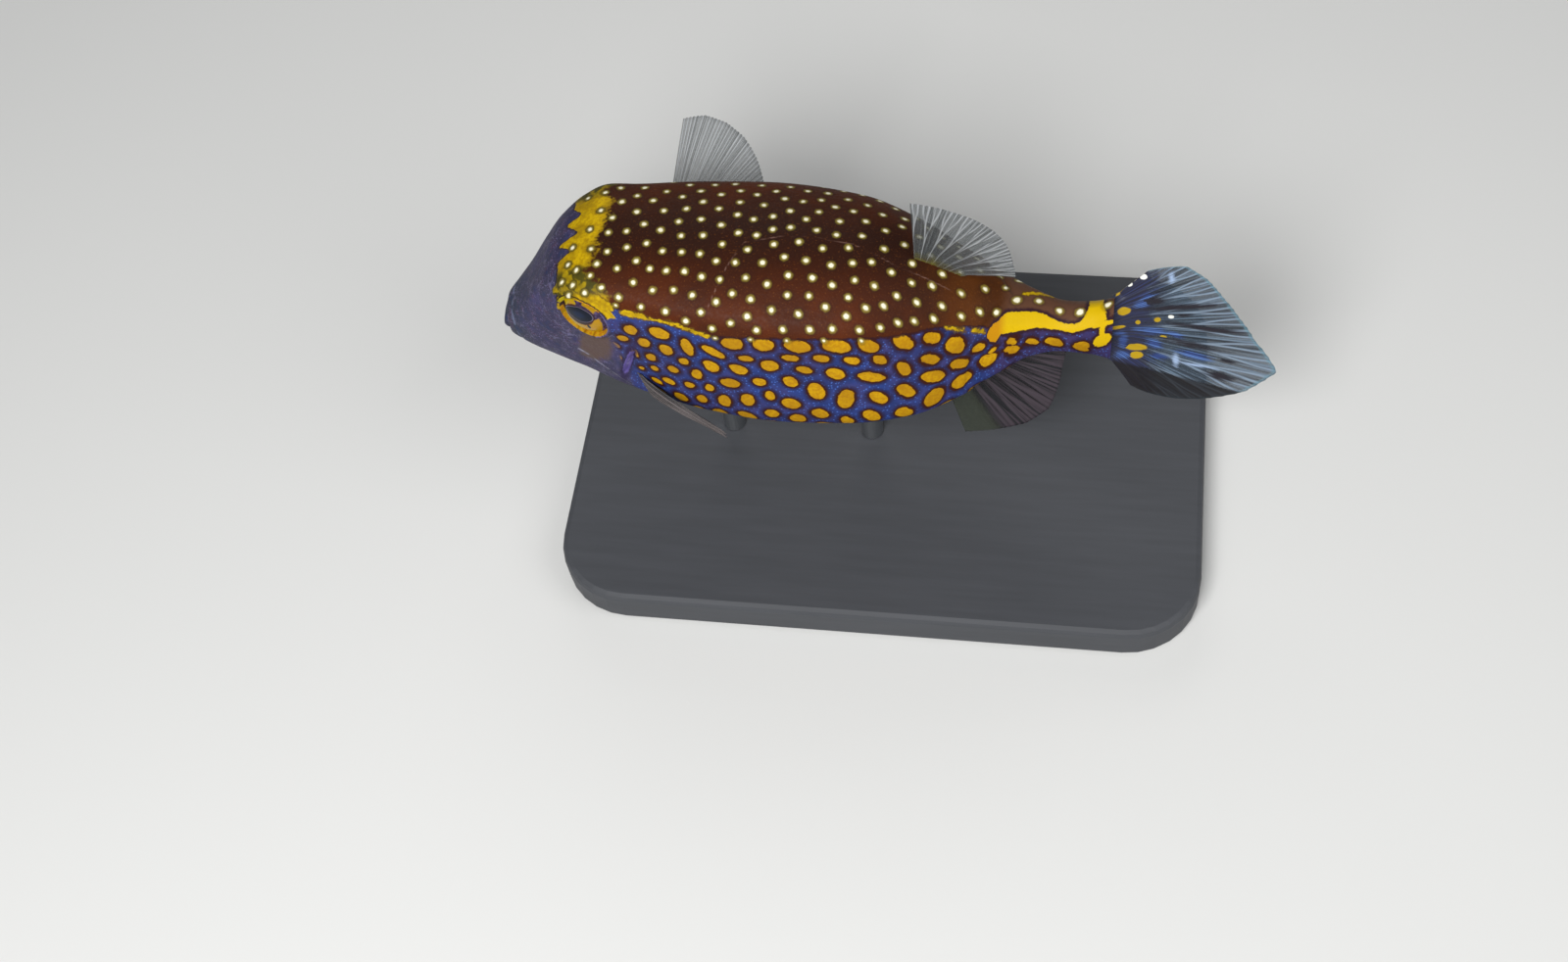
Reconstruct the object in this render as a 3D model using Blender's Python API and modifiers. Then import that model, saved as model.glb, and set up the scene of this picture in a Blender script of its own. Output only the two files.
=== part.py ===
"""Male spotted boxfish, life size, held still by a plain display stand.

Lengths are in millimetres until a mesh is made. Along the fish x runs from the snout's tip to the tail, y to the
fish's right and z up from the lowest line of the belly.
"""

import math

import bmesh
import bpy
import numpy as np
from mathutils import Matrix, Vector

MM = 0.001
SNOUT_X = -71.5  # the snout's tip along the finished part
BELLY_Z = 34.0  # the belly's lowest line above the floor
GAP = 0.3  # between neighbouring parts, face to face
HEAD_END = 30.0  # just behind the gill slit
SHELL_END = 94.5  # rear rim of the bony box
STALK_END = 113.6  # where the tail fin grows
TAIL_SWING = 1.5  # how far the tail stalk's end stands to the left

# One row for each station from snout to tail: its x, the back's height, the dorsal ridge's height and half width,
# the ventral keel's height and half width, and the belly's height.
OUTLINE = np.array(
    [
        [0.0, 11.0, 10.0, 2.2, 6.8, 2.2, 5.8],
        [0.9, 13.2, 11.6, 3.2, 6.1, 3.2, 4.9],
        [3.0, 15.8, 14.3, 4.4, 5.6, 4.4, 4.2],
        [6.0, 19.8, 18.2, 5.8, 5.2, 5.8, 3.6],
        [9.5, 25.2, 23.4, 7.5, 4.9, 7.2, 3.0],
        [13.0, 30.2, 27.8, 9.3, 4.6, 8.6, 2.4],
        [17.0, 33.2, 30.4, 11.4, 4.4, 10.2, 1.9],
        [22.0, 34.8, 31.5, 13.3, 4.0, 12.4, 1.3],
        [30.0, 35.4, 31.2, 15.0, 3.3, 15.1, 0.7],
        [40.6, 35.6, 30.4, 16.7, 2.6, 17.7, 0.2],
        [54.6, 35.6, 29.4, 17.8, 2.2, 19.2, 0.0],
        [67.6, 34.4, 28.0, 16.9, 2.4, 18.7, 0.2],
        [78.6, 31.0, 25.0, 13.9, 3.2, 16.5, 0.9],
        [87.6, 26.2, 21.6, 9.8, 5.2, 12.2, 2.9],
        [94.6, 22.4, 19.6, 6.7, 7.8, 7.9, 6.0],
        [99.0, 20.2, 18.3, 4.8, 9.6, 5.0, 8.4],
        [104.5, 18.9, 17.3, 3.5, 10.7, 3.6, 9.8],
        [110.0, 20.5, 18.4, 3.2, 10.3, 3.1, 9.3],
        [114.0, 23.2, 20.8, 2.7, 8.6, 2.6, 7.4],
    ]
)
BROW = 0.7  # swelling of the ridge over the eye
BROW_X = 20.5
BROW_REACH = 4.6

EYE = Vector((20.3, 12.4, 25.4))  # middle of the right eye on the skin
EYE_AXIS = Vector((-0.30, 0.95, 0.06)).normalized()
EYE_RADII = (5.0, 5.0, 2.6)
EYE_DEPTH = 1.6  # the eyeball's middle under the skin
LID_RADIUS = 5.15
LID_THICKNESS = 0.95

MOUTH = Vector((0.9, 0.0, 8.5))
LIP_RADII = (2.1, 2.7)  # tall, wide
LIP_THICKNESS = 1.0
MOUTH_SLIT = (1.7, 2.9, 0.32)
NOSTRIL = Vector((15.6, 10.4, 28.6))
NOSTRIL_RADIUS = 0.75
GILL = Vector((27.3, 14.5, 14.6))
GILL_UP = (0.36, 0.0, 0.93)  # the slit leans back towards its top
GILL_HALF_HEIGHT = 4.8

MEMBRANE = 0.5  # thickness of the fins between their rays
RAY_RIDGE = 0.34  # how much thicker a ray is near its root
PECTORAL_TOP = (28.6, 11.8)  # x and z of the first ray's root, just behind the gill slit
PECTORAL_FOOT = (29.8, 6.4)
TAIL_ROOT_HEIGHT = 12.6
TAIL_ROLL = math.radians(18)  # the tail fin's top leans to the fish's right

BASE_LENGTH = 124.0
BASE_WIDTH = 84.0
BASE_HEIGHT = 8.0
BASE_CORNER = 14.0
ROD_RADIUS = 2.2
ROD_X = (40.0, 68.0)

COLOURS = {
    "back": (0.075, 0.033, 0.020),
    "flank": (0.040, 0.062, 0.24),
    "face": (0.070, 0.062, 0.15),
    "fin": (0.33, 0.36, 0.38),
    "tail_fin": (0.11, 0.13, 0.26),
    "eye": (0.010, 0.012, 0.035),
    "stand": (0.047, 0.050, 0.058),
    "rod": (0.45, 0.46, 0.47),
}


def material(name, colour, roughness, metallic=0.0):
    found = bpy.data.materials.new(name)
    found.use_nodes = True
    shader = found.node_tree.nodes["Principled BSDF"]
    shader.inputs["Base Color"].default_value = (*colour, 1.0)
    shader.inputs["Roughness"].default_value = roughness
    shader.inputs["Metallic"].default_value = metallic
    found.diffuse_color = (*colour, 1.0)
    return found


def smooth(x, low, high):
    t = min(max((x - low) / (high - low), 0.0), 1.0)
    return t * t * (3 - 2 * t)


def through_stations(x, column):
    """Height or half width at x, on a curve through the stations that never overshoots them."""
    xs = OUTLINE[:, 0]
    ys = OUTLINE[:, column]
    steps = np.diff(xs)
    slopes = np.diff(ys) / steps
    tangents = np.zeros(len(xs))
    tangents[0] = slopes[0]
    tangents[-1] = slopes[-1]
    for i in range(1, len(xs) - 1):
        if slopes[i - 1] * slopes[i] > 0:
            before = 2 * steps[i] + steps[i - 1]
            after = steps[i] + 2 * steps[i - 1]
            tangents[i] = (before + after) / (before / slopes[i - 1] + after / slopes[i])
    i = int(np.clip(np.searchsorted(xs, x) - 1, 0, len(xs) - 2))
    t = (x - xs[i]) / steps[i]
    start = (1 + 2 * t) * (1 - t) ** 2 * ys[i] + t * (1 - t) ** 2 * steps[i] * tangents[i]
    end = t * t * (3 - 2 * t) * ys[i + 1] + t * t * (t - 1) * steps[i] * tangents[i + 1]
    return start + end


def curve(a, b, c, d, count):
    t = np.linspace(0, 1, count + 1)[:, None]
    return (1 - t) ** 3 * a + 3 * (1 - t) ** 2 * t * b + 3 * (1 - t) * t * t * c + t**3 * d


def rounded(points, times):
    """Takes the sharpness off the corners of a half outline and keeps its ends on the middle line."""
    for _ in range(times):
        points[1:-1] = 0.25 * points[:-2] + 0.5 * points[1:-1] + 0.25 * points[2:]
    return points


def half_section(x, counts):
    """Points (y, z) of the right half of the outline across the body, from the back's middle to the belly's."""
    back, ridge_z, ridge_y, keel_z, keel_y, belly = (through_stations(x, k) for k in range(1, 7))
    brow = BROW * math.exp(-(((x - BROW_X) / BROW_REACH) ** 2))
    ridge = np.array([ridge_y + brow, ridge_z + 0.6 * brow])
    keel = np.array([keel_y, keel_z])
    boxy = smooth(x, 4, 20) * (1 - smooth(x, 84, 98))
    slope = math.radians(35)
    along = np.array([math.cos(slope), -math.sin(slope)])
    arch = curve(
        np.array([0, back]), np.array([0.45 * ridge[0], back]), ridge - along * 0.35 * ridge[0], ridge, counts[0]
    )
    down = keel - ridge
    bulge = np.array([(1 - boxy) * 0.12 * np.linalg.norm(down), 0])
    side = curve(ridge, ridge + down / 3 + bulge, ridge + down * 2 / 3 + bulge, keel, counts[1])
    under = curve(
        keel,
        keel + np.array([-0.2 * keel_y, 0.7 * (belly - keel_z)]),
        np.array([0.45 * keel_y, belly]),
        np.array([0, belly]),
        counts[2],
    )
    return rounded(np.vstack([arch, side[1:], under[1:]]), 2)


def swing(x):
    """How far the body's middle line stands to the left at x."""
    return -TAIL_SWING * smooth(x, 92, 116)


def ring(x, counts):
    half = half_section(x, counts)
    right = [(x, swing(x) + y, z) for y, z in half]
    left = [(x, swing(x) - y, z) for y, z in half[-2:0:-1]]
    return right + left


def side_point(x, z, side):
    """The point at height z on the flank, and the way it faces."""
    flanks = [half_section(x + step, (8, 24, 5))[8:33] for step in (-0.5, 0.0, 0.5)]
    before, y, after = (np.interp(-z, -flank[:, 1], flank[:, 0]) for flank in flanks)
    return np.array([x, side * y, z]), unit((before - after, side, 0.0))


def to_part(point):
    return (MM * (point[0] + SNOUT_X), MM * point[1], MM * (point[2] + BELLY_Z))


def new_object(name, mesh, looks, collection):
    found = bpy.data.objects.new(name, mesh)
    collection.objects.link(found)
    if looks:
        mesh.materials.append(looks)
    return found


def faces_to_mesh(name, points, faces):
    mesh = bpy.data.meshes.new(name)
    mesh.from_pydata([to_part(p) for p in points], [], faces)
    work = bmesh.new()
    work.from_mesh(mesh)
    bmesh.ops.recalc_face_normals(work, faces=work.faces)
    work.to_mesh(mesh)
    work.free()
    return mesh


def loft(name, stations, counts, looks):
    """A closed body through a ring at each station, with a flat face at either end."""
    rings = [ring(x, counts) for x in stations]
    around = len(rings[0])
    points = [p for one in rings for p in one]
    faces = [tuple(range(around)), tuple(range(len(points) - around, len(points)))]
    for i in range(len(rings) - 1):
        for j in range(around):
            k = (j + 1) % around
            faces.append((i * around + j, i * around + k, (i + 1) * around + k, (i + 1) * around + j))
    return new_object(name, faces_to_mesh(name, points, faces), looks, PART)


def placed(name, centre, axis, sizes, collection, looks=None, up=(0.0, 0.0, 1.0)):
    """Moves the primitive just added so that its +Z follows the axis and its +X points as far up as it can."""
    shape = bpy.context.object
    shape.name = name
    axis = Vector(axis).normalized()
    if abs(axis.dot(Vector(up))) > 0.99:
        up = (1.0, 0.0, 0.0)
    across = axis.cross(Vector(up)).normalized()
    turn = Matrix((across.cross(axis), across, axis)).transposed().to_4x4()
    place = Matrix.Translation(Vector(to_part(centre)))
    shape.data.transform(place @ turn @ Matrix.Diagonal((*[MM * s for s in sizes], 1.0)))
    for old in shape.users_collection:
        old.objects.unlink(shape)
    collection.objects.link(shape)
    if looks:
        shape.data.materials.append(looks)
    return shape


def ball(name, centre, axis, radii, segments, rings, collection, looks=None, up=(0.0, 0.0, 1.0)):
    bpy.ops.mesh.primitive_uv_sphere_add(segments=segments, ring_count=rings, radius=1.0)
    return placed(name, centre, axis, radii, collection, looks, up)


def hoop(name, centre, axis, radii, thickness, segments, collection):
    """A ring of round section whose two radii differ."""
    bpy.ops.mesh.primitive_torus_add(
        major_segments=segments, minor_segments=8, major_radius=1.0, minor_radius=thickness / max(radii)
    )
    return placed(name, centre, axis, (radii[0], radii[1], max(radii)), collection)


def mirrored(vector, side):
    return Vector((vector[0], side * vector[1], vector[2]))


def boolean(target, collection, operation):
    """Joins to the target, or cuts from it, all that the collection holds, and then clears the collection."""
    step = target.modifiers.new(operation.lower(), "BOOLEAN")
    step.operation = operation
    step.operand_type = "COLLECTION"
    step.collection = collection
    step.solver = "EXACT"
    bpy.context.view_layer.objects.active = target
    bpy.ops.object.modifier_apply(modifier=step.name)
    for used in list(collection.objects):
        bpy.data.objects.remove(used)


def keep_largest(target):
    """Leaves only the largest closed surface of a mesh."""
    work = bmesh.new()
    work.from_mesh(target.data)
    work.verts.ensure_lookup_table()
    left = set(work.verts)
    shells = []
    while left:
        shell = {left.pop()}
        edge_of = list(shell)
        while edge_of:
            for edge in edge_of.pop().link_edges:
                for vert in edge.verts:
                    if vert in left:
                        left.discard(vert)
                        shell.add(vert)
                        edge_of.append(vert)
        shells.append(shell)
    shells.sort(key=len)
    for shell in shells[:-1]:
        bmesh.ops.delete(work, geom=list(shell), context="VERTS")
    work.to_mesh(target.data)
    work.free()


def unit(vector):
    vector = np.array(vector, float)
    return vector / np.linalg.norm(vector)


def between(a, b, u):
    """The direction a share u of the way from a to b."""
    a = unit(a)
    b = unit(b)
    angle = math.acos(float(np.clip(a @ b, -1, 1)))
    return (math.sin((1 - u) * angle) * a + math.sin(u * angle) * b) / math.sin(angle)


def fin(name, root, first, last, lengths, rays, looks, root_thickness, lobe=0.0, wave=0.0):
    """A fan of rays from the root line, as a membrane whose rays stand up alike on both its faces.

    root(u) gives the point and the way the skin faces there, u running from the first ray to the last. A lobe is how
    far each ray leaves the skin squarely before it turns into its own direction.
    """
    rows = 7
    columns = 2 * rays - 1
    points = []
    weights = []
    for i in range(columns):
        u = i / (columns - 1)
        start, facing = root(u)
        ray = between(first, last, u)
        length = float(np.interp(u, np.linspace(0, 1, len(lengths)), lengths))
        on_ray = i % 2 == 0
        if not on_ray:
            length *= 0.965
        sideways = unit(np.cross(between(first, last, min(u + 0.02, 1.0)), between(first, last, max(u - 0.02, 0.0))))
        for j in range(rows + 1):
            v = j / rows
            middle = start + (lobe * facing if lobe else 0.5 * length * ray)
            point = (1 - v) ** 2 * start + 2 * v * (1 - v) * middle + v * v * (start + length * ray)
            point = point + sideways * wave * math.sin(2.5 * math.pi * u) * v * v
            points.append(point)
            thin = MEMBRANE * (1 - 0.35 * smooth(v, 0.7, 1.0))
            raised = RAY_RIDGE * smooth(v, 0.0, 0.15) * (1 - 0.6 * v) if on_ray else 0.0
            fleshy = (root_thickness - MEMBRANE) * (1 - smooth(v, 0.0, 0.22))
            weights.append((thin + raised + fleshy) / root_thickness)
    faces = []
    for i in range(columns - 1):
        for j in range(rows):
            a = i * (rows + 1) + j
            faces.append((a, a + rows + 1, a + rows + 2, a + 1))
    made = new_object(name, faces_to_mesh(name, points, faces), looks, PART)
    group = made.vertex_groups.new(name="thickness")
    for index, weight in enumerate(weights):
        group.add([index], min(weight, 1.0), "REPLACE")
    split = made.modifiers.new("split", "TRIANGULATE")
    split.quad_method = "BEAUTY"
    solid = made.modifiers.new("solid", "SOLIDIFY")
    solid.thickness = root_thickness * MM
    solid.offset = 0.0
    solid.vertex_group = group.name
    return made


def dorsal_root(u):
    x = 78.5 + 7.5 * u
    return np.array([x, 0.0, through_stations(x, 1) + GAP]), np.array([0.3, 0.0, 0.95])


def anal_root(u):
    x = 81.0 + 11.5 * u
    return np.array([x, 0.0, through_stations(x, 6) - GAP]), np.array([0.0, 0.0, -1.0])


def pectoral_root(side):
    def root(u):
        x = (1 - u) * PECTORAL_TOP[0] + u * PECTORAL_FOOT[0]
        z = (1 - u) * PECTORAL_TOP[1] + u * PECTORAL_FOOT[1]
        point, facing = side_point(x, z, side)
        return point + facing * (GAP + 0.1), facing

    return root


def tail_root(u):
    height = TAIL_ROOT_HEIGHT * (0.5 - u)
    roll = TAIL_ROLL * smooth(abs(0.5 - u), 0.0, 0.5)
    middle = 0.5 * (through_stations(STALK_END, 1) + through_stations(STALK_END, 6))
    point = np.array([STALK_END + GAP, swing(STALK_END) + height * math.sin(roll), middle + height * math.cos(roll)])
    return point, np.array([1.0, 0.0, 0.0])


def in_tail_plane(degrees):
    """The direction in the tail fin's plane that rises so steeply towards the rear."""
    rise = math.radians(degrees)
    return (math.cos(rise), math.sin(rise) * math.sin(TAIL_ROLL), math.sin(rise) * math.cos(TAIL_ROLL))


for old in list(bpy.data.objects):
    bpy.data.objects.remove(old)

PART = bpy.data.collections.new("spotted_boxfish")
bpy.context.scene.collection.children.link(PART)
TOOLS = bpy.data.collections.new("shapes_to_join_or_cut")
TOOLS.hide_render = True
bpy.context.scene.collection.children.link(TOOLS)

skins = {
    name: material(name, COLOURS[name], roughness, metallic)
    for name, roughness, metallic in (
        ("back", 0.45, 0.0),
        ("flank", 0.45, 0.0),
        ("face", 0.45, 0.0),
        ("fin", 0.5, 0.0),
        ("tail_fin", 0.5, 0.0),
        ("eye", 0.08, 0.0),
        ("stand", 0.6, 0.0),
        ("rod", 0.35, 1.0),
    )
}

head_stations = [0.0, 0.45, 1.0, 1.8, 2.8, *np.linspace(4.0, HEAD_END, 19)]
head = loft("head", head_stations, (8, 7, 5), skins["face"])
shell_stations = np.linspace(HEAD_END + GAP, SHELL_END, 24)
loft("carapace", shell_stations, (8, 7, 5), skins["back"])
stalk_stations = np.linspace(SHELL_END + GAP, STALK_END, 11)
loft("tail_stalk", stalk_stations, (6, 4, 4), skins["flank"])

for side in (-1, 1):
    axis = mirrored(EYE_AXIS, side)
    hoop("lid", mirrored(EYE, side), axis, (LID_RADIUS, LID_RADIUS), LID_THICKNESS, 32, TOOLS)
    hoop("nostril_rim", mirrored(NOSTRIL, side), axis, (NOSTRIL_RADIUS, NOSTRIL_RADIUS), 0.35, 12, TOOLS)
    flap_centre = mirrored(GILL, side) + Vector((-1.1, -0.1 * side, 0.0))
    ball("gill_flap", flap_centre, (-0.16, side, 0.0), (GILL_HALF_HEIGHT, 1.3, 0.75), 16, 10, TOOLS, up=GILL_UP)
hoop("lips", MOUTH, (1.0, 0.0, 0.0), LIP_RADII, LIP_THICKNESS, 24, TOOLS)
boolean(head, TOOLS, "UNION")
keep_largest(head)

for side in (-1, 1):
    axis = mirrored(EYE_AXIS, side)
    centre = mirrored(EYE, side) - axis * EYE_DEPTH
    ball("socket", centre, axis, [r + GAP for r in EYE_RADII], 28, 14, TOOLS)
    ball("nostril", mirrored(NOSTRIL, side), axis, (0.45, 0.45, 0.9), 10, 6, TOOLS)
    slit = (GILL_HALF_HEIGHT, 0.4, 1.3)
    ball("gill_slit", mirrored(GILL, side), (0.0, side, 0.0), slit, 12, 8, TOOLS, up=GILL_UP)
ball("mouth_slit", MOUTH - Vector((0.9, 0.0, 0.0)), (0.0, 0.0, 1.0), MOUTH_SLIT, 20, 8, TOOLS)
boolean(head, TOOLS, "DIFFERENCE")
keep_largest(head)

for side, name in ((-1, "left_eye"), (1, "right_eye")):
    axis = mirrored(EYE_AXIS, side)
    ball(name, mirrored(EYE, side) - axis * EYE_DEPTH, axis, EYE_RADII, 24, 12, PART, skins["eye"])

fin(
    "dorsal_fin",
    dorsal_root,
    (-0.02, 0.0, 1.0),
    (1.0, 0.0, 0.04),
    (15.2, 15.6, 15.3, 14.4, 13.2, 11.6, 10.4),
    9,
    skins["fin"],
    1.3,
    wave=0.4,
)
fin(
    "anal_fin",
    anal_root,
    (0.46, -0.55, -1.0),
    (1.0, 0.0, 0.02),
    (17.6, 19.0, 20.2, 19.8, 17.4, 15.0, 13.4),
    9,
    skins["fin"],
    1.3,
    wave=0.4,
)
fin(
    "left_pectoral_fin",
    pectoral_root(-1),
    (0.82, -0.33, -0.47),
    (0.84, -0.36, -0.42),
    (19.5, 19.5, 17.5, 14.0, 10.0),
    10,
    skins["fin"],
    1.3,
    lobe=1.6,
)
fin(
    "right_pectoral_fin",
    pectoral_root(1),
    (0.09, 0.82, 0.56),
    (0.80, 0.50, 0.30),
    (25.0, 27.0, 27.5, 27.0, 25.5, 23.5, 21.5),
    10,
    skins["fin"],
    1.3,
    lobe=2.6,
)
fin(
    "caudal_fin",
    tail_root,
    in_tail_plane(46),
    in_tail_plane(-54),
    (8.6, 15.6, 18.4, 20.4, 22.9, 26.2, 31.8, 27.9, 21.3, 14.4, 7.8),
    10,
    skins["tail_fin"],
    2.4,
    wave=0.5,
)

bpy.ops.mesh.primitive_cube_add(size=1.0)
base = bpy.context.object
base.name = "stand_base"
base.data.transform(
    Matrix.Translation((0.0, 0.0, MM * BASE_HEIGHT / 2))
    @ Matrix.Diagonal((MM * BASE_LENGTH, MM * BASE_WIDTH, MM * BASE_HEIGHT, 1.0))
)
base.data.materials.append(skins["stand"])
corners = bmesh.new()
corners.from_mesh(base.data)
upright = [e for e in corners.edges if abs(e.verts[0].co.z - e.verts[1].co.z) > MM]
bmesh.ops.bevel(corners, geom=upright, offset=MM * BASE_CORNER, segments=7, profile=0.5, affect="EDGES")
corners.to_mesh(base.data)
corners.free()
softened = base.modifiers.new("softened", "BEVEL")
softened.width = MM * 1.2
softened.segments = 2
softened.limit_method = "ANGLE"
softened.angle_limit = math.radians(50)
for old in base.users_collection:
    old.objects.unlink(base)
PART.objects.link(base)

for x, name in zip(ROD_X, ("stand_rod_front", "stand_rod_rear")):
    foot = BASE_HEIGHT + GAP - BELLY_Z
    top = through_stations(x, 6) - GAP
    bpy.ops.mesh.primitive_cylinder_add(vertices=24, radius=1.0, depth=1.0)
    placed(name, (x, 0.0, (foot + top) / 2), (0, 0, 1), (ROD_RADIUS, ROD_RADIUS, top - foot), PART, skins["rod"])
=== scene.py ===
"""The spotted boxfish's looks: one skin with its markings, rayed fins, eyes, stand, light and camera."""
import math
from functools import partial

import bpy
import numpy as np
from mathutils import Matrix, Vector


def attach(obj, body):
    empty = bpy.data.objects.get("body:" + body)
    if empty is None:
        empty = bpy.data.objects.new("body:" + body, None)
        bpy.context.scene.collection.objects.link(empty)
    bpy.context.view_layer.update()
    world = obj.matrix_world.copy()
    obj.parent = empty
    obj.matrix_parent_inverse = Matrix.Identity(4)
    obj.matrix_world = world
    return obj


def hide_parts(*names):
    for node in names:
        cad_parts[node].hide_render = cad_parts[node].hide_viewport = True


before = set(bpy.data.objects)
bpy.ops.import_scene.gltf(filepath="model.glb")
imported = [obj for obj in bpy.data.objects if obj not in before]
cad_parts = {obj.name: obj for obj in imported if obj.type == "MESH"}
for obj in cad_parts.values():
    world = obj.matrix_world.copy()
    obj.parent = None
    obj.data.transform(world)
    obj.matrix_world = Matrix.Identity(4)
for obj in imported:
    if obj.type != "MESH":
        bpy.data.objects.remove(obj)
bpy.ops.object.select_all(action="DESELECT")
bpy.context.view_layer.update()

# The solids' own sizes, in millimetres: x from the snout to the tail, y to the right, z from the belly.
MM = 0.001
SNOUT_X = -71.5
BELLY_Z = 34.0
SHELL_END = 95.5
STALK_END = 113.6
TAIL_SWING = 1.5
# At each x: the back's height, the ridge's height and half width, the keel's, and the belly's height.
OUTLINE = np.array(
    [
        [0.0, 11.0, 10.0, 2.2, 6.8, 2.2, 5.8], [0.9, 13.2, 11.6, 3.2, 6.1, 3.2, 4.9],
        [3.0, 15.8, 14.3, 4.4, 5.6, 4.4, 4.2], [6.0, 19.8, 18.2, 5.8, 5.2, 5.8, 3.6],
        [9.5, 25.2, 23.4, 7.5, 4.9, 7.2, 3.0], [13.0, 30.2, 27.8, 9.3, 4.6, 8.6, 2.4],
        [17.0, 33.2, 30.4, 11.4, 4.4, 10.2, 1.9], [22.0, 34.8, 31.5, 13.3, 4.0, 12.4, 1.3],
        [30.0, 35.4, 31.2, 15.0, 3.3, 15.1, 0.7], [40.6, 35.6, 30.4, 16.7, 2.6, 17.7, 0.2],
        [54.6, 35.6, 29.4, 17.8, 2.2, 19.2, 0.0], [67.6, 34.4, 28.0, 16.9, 2.4, 18.7, 0.2],
        [78.6, 31.0, 25.0, 13.9, 3.2, 16.5, 0.9], [87.6, 26.2, 21.6, 9.8, 5.2, 12.2, 2.9],
        [94.6, 22.4, 19.6, 6.7, 7.8, 7.9, 6.0], [99.0, 20.2, 18.3, 4.8, 9.6, 5.0, 8.4],
        [104.5, 18.9, 17.3, 3.5, 10.7, 3.6, 9.8], [110.0, 20.5, 18.4, 3.2, 10.3, 3.1, 9.3],
        [114.0, 23.2, 20.8, 2.7, 8.6, 2.6, 7.4],
    ]
)
BROW = 0.7
BROW_X = 20.5
BROW_REACH = 4.6
EYE = (20.3, 12.4, 25.4)
EYE_AXIS = (-0.30, 0.95, 0.06)
EYE_RADII = (5.0, 5.0, 2.6)
EYE_DEPTH = 1.6
# How far from the eye's axis the lids' opening, the raised lid and the furrow outside it lie.
EYE_RIM = 4.78
LID_REACH = 5.15
FURROW_REACH = 6.1
NOSTRIL = (15.6, 10.4, 28.6)
GILL = (27.3, 14.5, 14.6)
GILL_HALF_HEIGHT = 4.8
PECTORAL_TOP = (28.6, 11.8)
PECTORAL_FOOT = (29.8, 6.4)
TAIL_ROOT_HEIGHT = 12.6
TAIL_ROLL = math.radians(18)

CAMERA_AT = (108.55, -211.24, 303.72)
CAMERA_TURN = 16.0
CAMERA_RISE = 58.0
CAMERA_ROLL = -10.0
LENS = 45.0

chance = np.random.default_rng(11)


def unit(vector):
    vector = np.array(vector, float)
    return vector / np.linalg.norm(vector)


def smooth(x, low, high):
    t = np.clip((x - low) / (high - low), 0.0, 1.0)
    return t * t * (3 - 2 * t)


def eased(at, places, values):
    """The value at each place, easing in and out of the given ones."""
    i = np.clip(np.searchsorted(places, at) - 1, 0, len(places) - 2)
    return values[i] + (values[i + 1] - values[i]) * smooth(at, places[i], places[i + 1])


def through_stations(x, column):
    """Height or half width at x, on a curve through the stations that never overshoots them."""
    xs = OUTLINE[:, 0]
    ys = OUTLINE[:, column]
    steps = np.diff(xs)
    slopes = np.diff(ys) / steps
    tangents = np.zeros(len(xs))
    tangents[0] = slopes[0]
    tangents[-1] = slopes[-1]
    for i in range(1, len(xs) - 1):
        if slopes[i - 1] * slopes[i] > 0:
            before = 2 * steps[i] + steps[i - 1]
            after = steps[i] + 2 * steps[i - 1]
            tangents[i] = (before + after) / (before / slopes[i - 1] + after / slopes[i])
    i = int(np.clip(np.searchsorted(xs, x) - 1, 0, len(xs) - 2))
    t = (x - xs[i]) / steps[i]
    start = (1 + 2 * t) * (1 - t) ** 2 * ys[i] + t * (1 - t) ** 2 * steps[i] * tangents[i]
    end = t * t * (3 - 2 * t) * ys[i + 1] + t * t * (t - 1) * steps[i] * tangents[i + 1]
    return start + end


def curve(a, b, c, d, count):
    t = np.linspace(0, 1, count + 1)[:, None]
    return (1 - t) ** 3 * a + 3 * (1 - t) ** 2 * t * b + 3 * (1 - t) * t * t * c + t**3 * d


def rounded(points, rounds):
    """Takes the sharpness off the corners of a half outline and keeps its ends on the middle line."""
    for _ in range(rounds):
        points[1:-1] = 0.25 * points[:-2] + 0.5 * points[1:-1] + 0.25 * points[2:]
    return points


def half_section(x, counts=(8, 7, 5)):
    """Points (y, z) across the right half of the body, from the back's middle to the belly's."""
    back, ridge_z, ridge_y, keel_z, keel_y, belly = (through_stations(x, k) for k in range(1, 7))
    brow = BROW * math.exp(-(((x - BROW_X) / BROW_REACH) ** 2))
    ridge = np.array([ridge_y + brow, ridge_z + 0.6 * brow])
    keel = np.array([keel_y, keel_z])
    boxy = smooth(x, 4, 20) * (1 - smooth(x, 84, 98))
    slope = math.radians(35)
    before_ridge = ridge - np.array([math.cos(slope), -math.sin(slope)]) * 0.35 * ridge[0]
    arch = curve(np.array([0, back]), np.array([0.45 * ridge[0], back]), before_ridge, ridge, counts[0])
    down = keel - ridge
    bulge = np.array([(1 - boxy) * 0.12 * np.linalg.norm(down), 0])
    side = curve(ridge, ridge + down / 3 + bulge, ridge + down * 2 / 3 + bulge, keel, counts[1])
    under_keel = keel + np.array([-0.2 * keel_y, 0.7 * (belly - keel_z)])
    under = curve(keel, under_keel, np.array([0.45 * keel_y, belly]), np.array([0, belly]), counts[2])
    return rounded(np.vstack([arch, side[1:], under[1:]]), 2)


def denser(points, steps):
    """A smooth line through the points, with so many steps between each two."""
    line = np.vstack([points[1] * (-1, 1), points, points[-2] * (-1, 1)])
    t = (np.arange(steps) / steps)[:, None]
    out = []
    for a, b, c, d in zip(line, line[1:], line[2:], line[3:]):
        start = 2 * b + (c - a) * t
        out.append(0.5 * (start + (2 * a - 5 * b + 4 * c - d) * t**2 + (3 * b - a - 3 * c + d) * t**3))
    return np.vstack(out + [points[-1:]])


def swing(x):
    """The y of the body's middle line at x: near the tail it stands to the left."""
    return -TAIL_SWING * smooth(x, 92, 116)


def to_part(points):
    return (np.asarray(points, float) + (SNOUT_X, 0.0, BELLY_Z)) * MM


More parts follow.
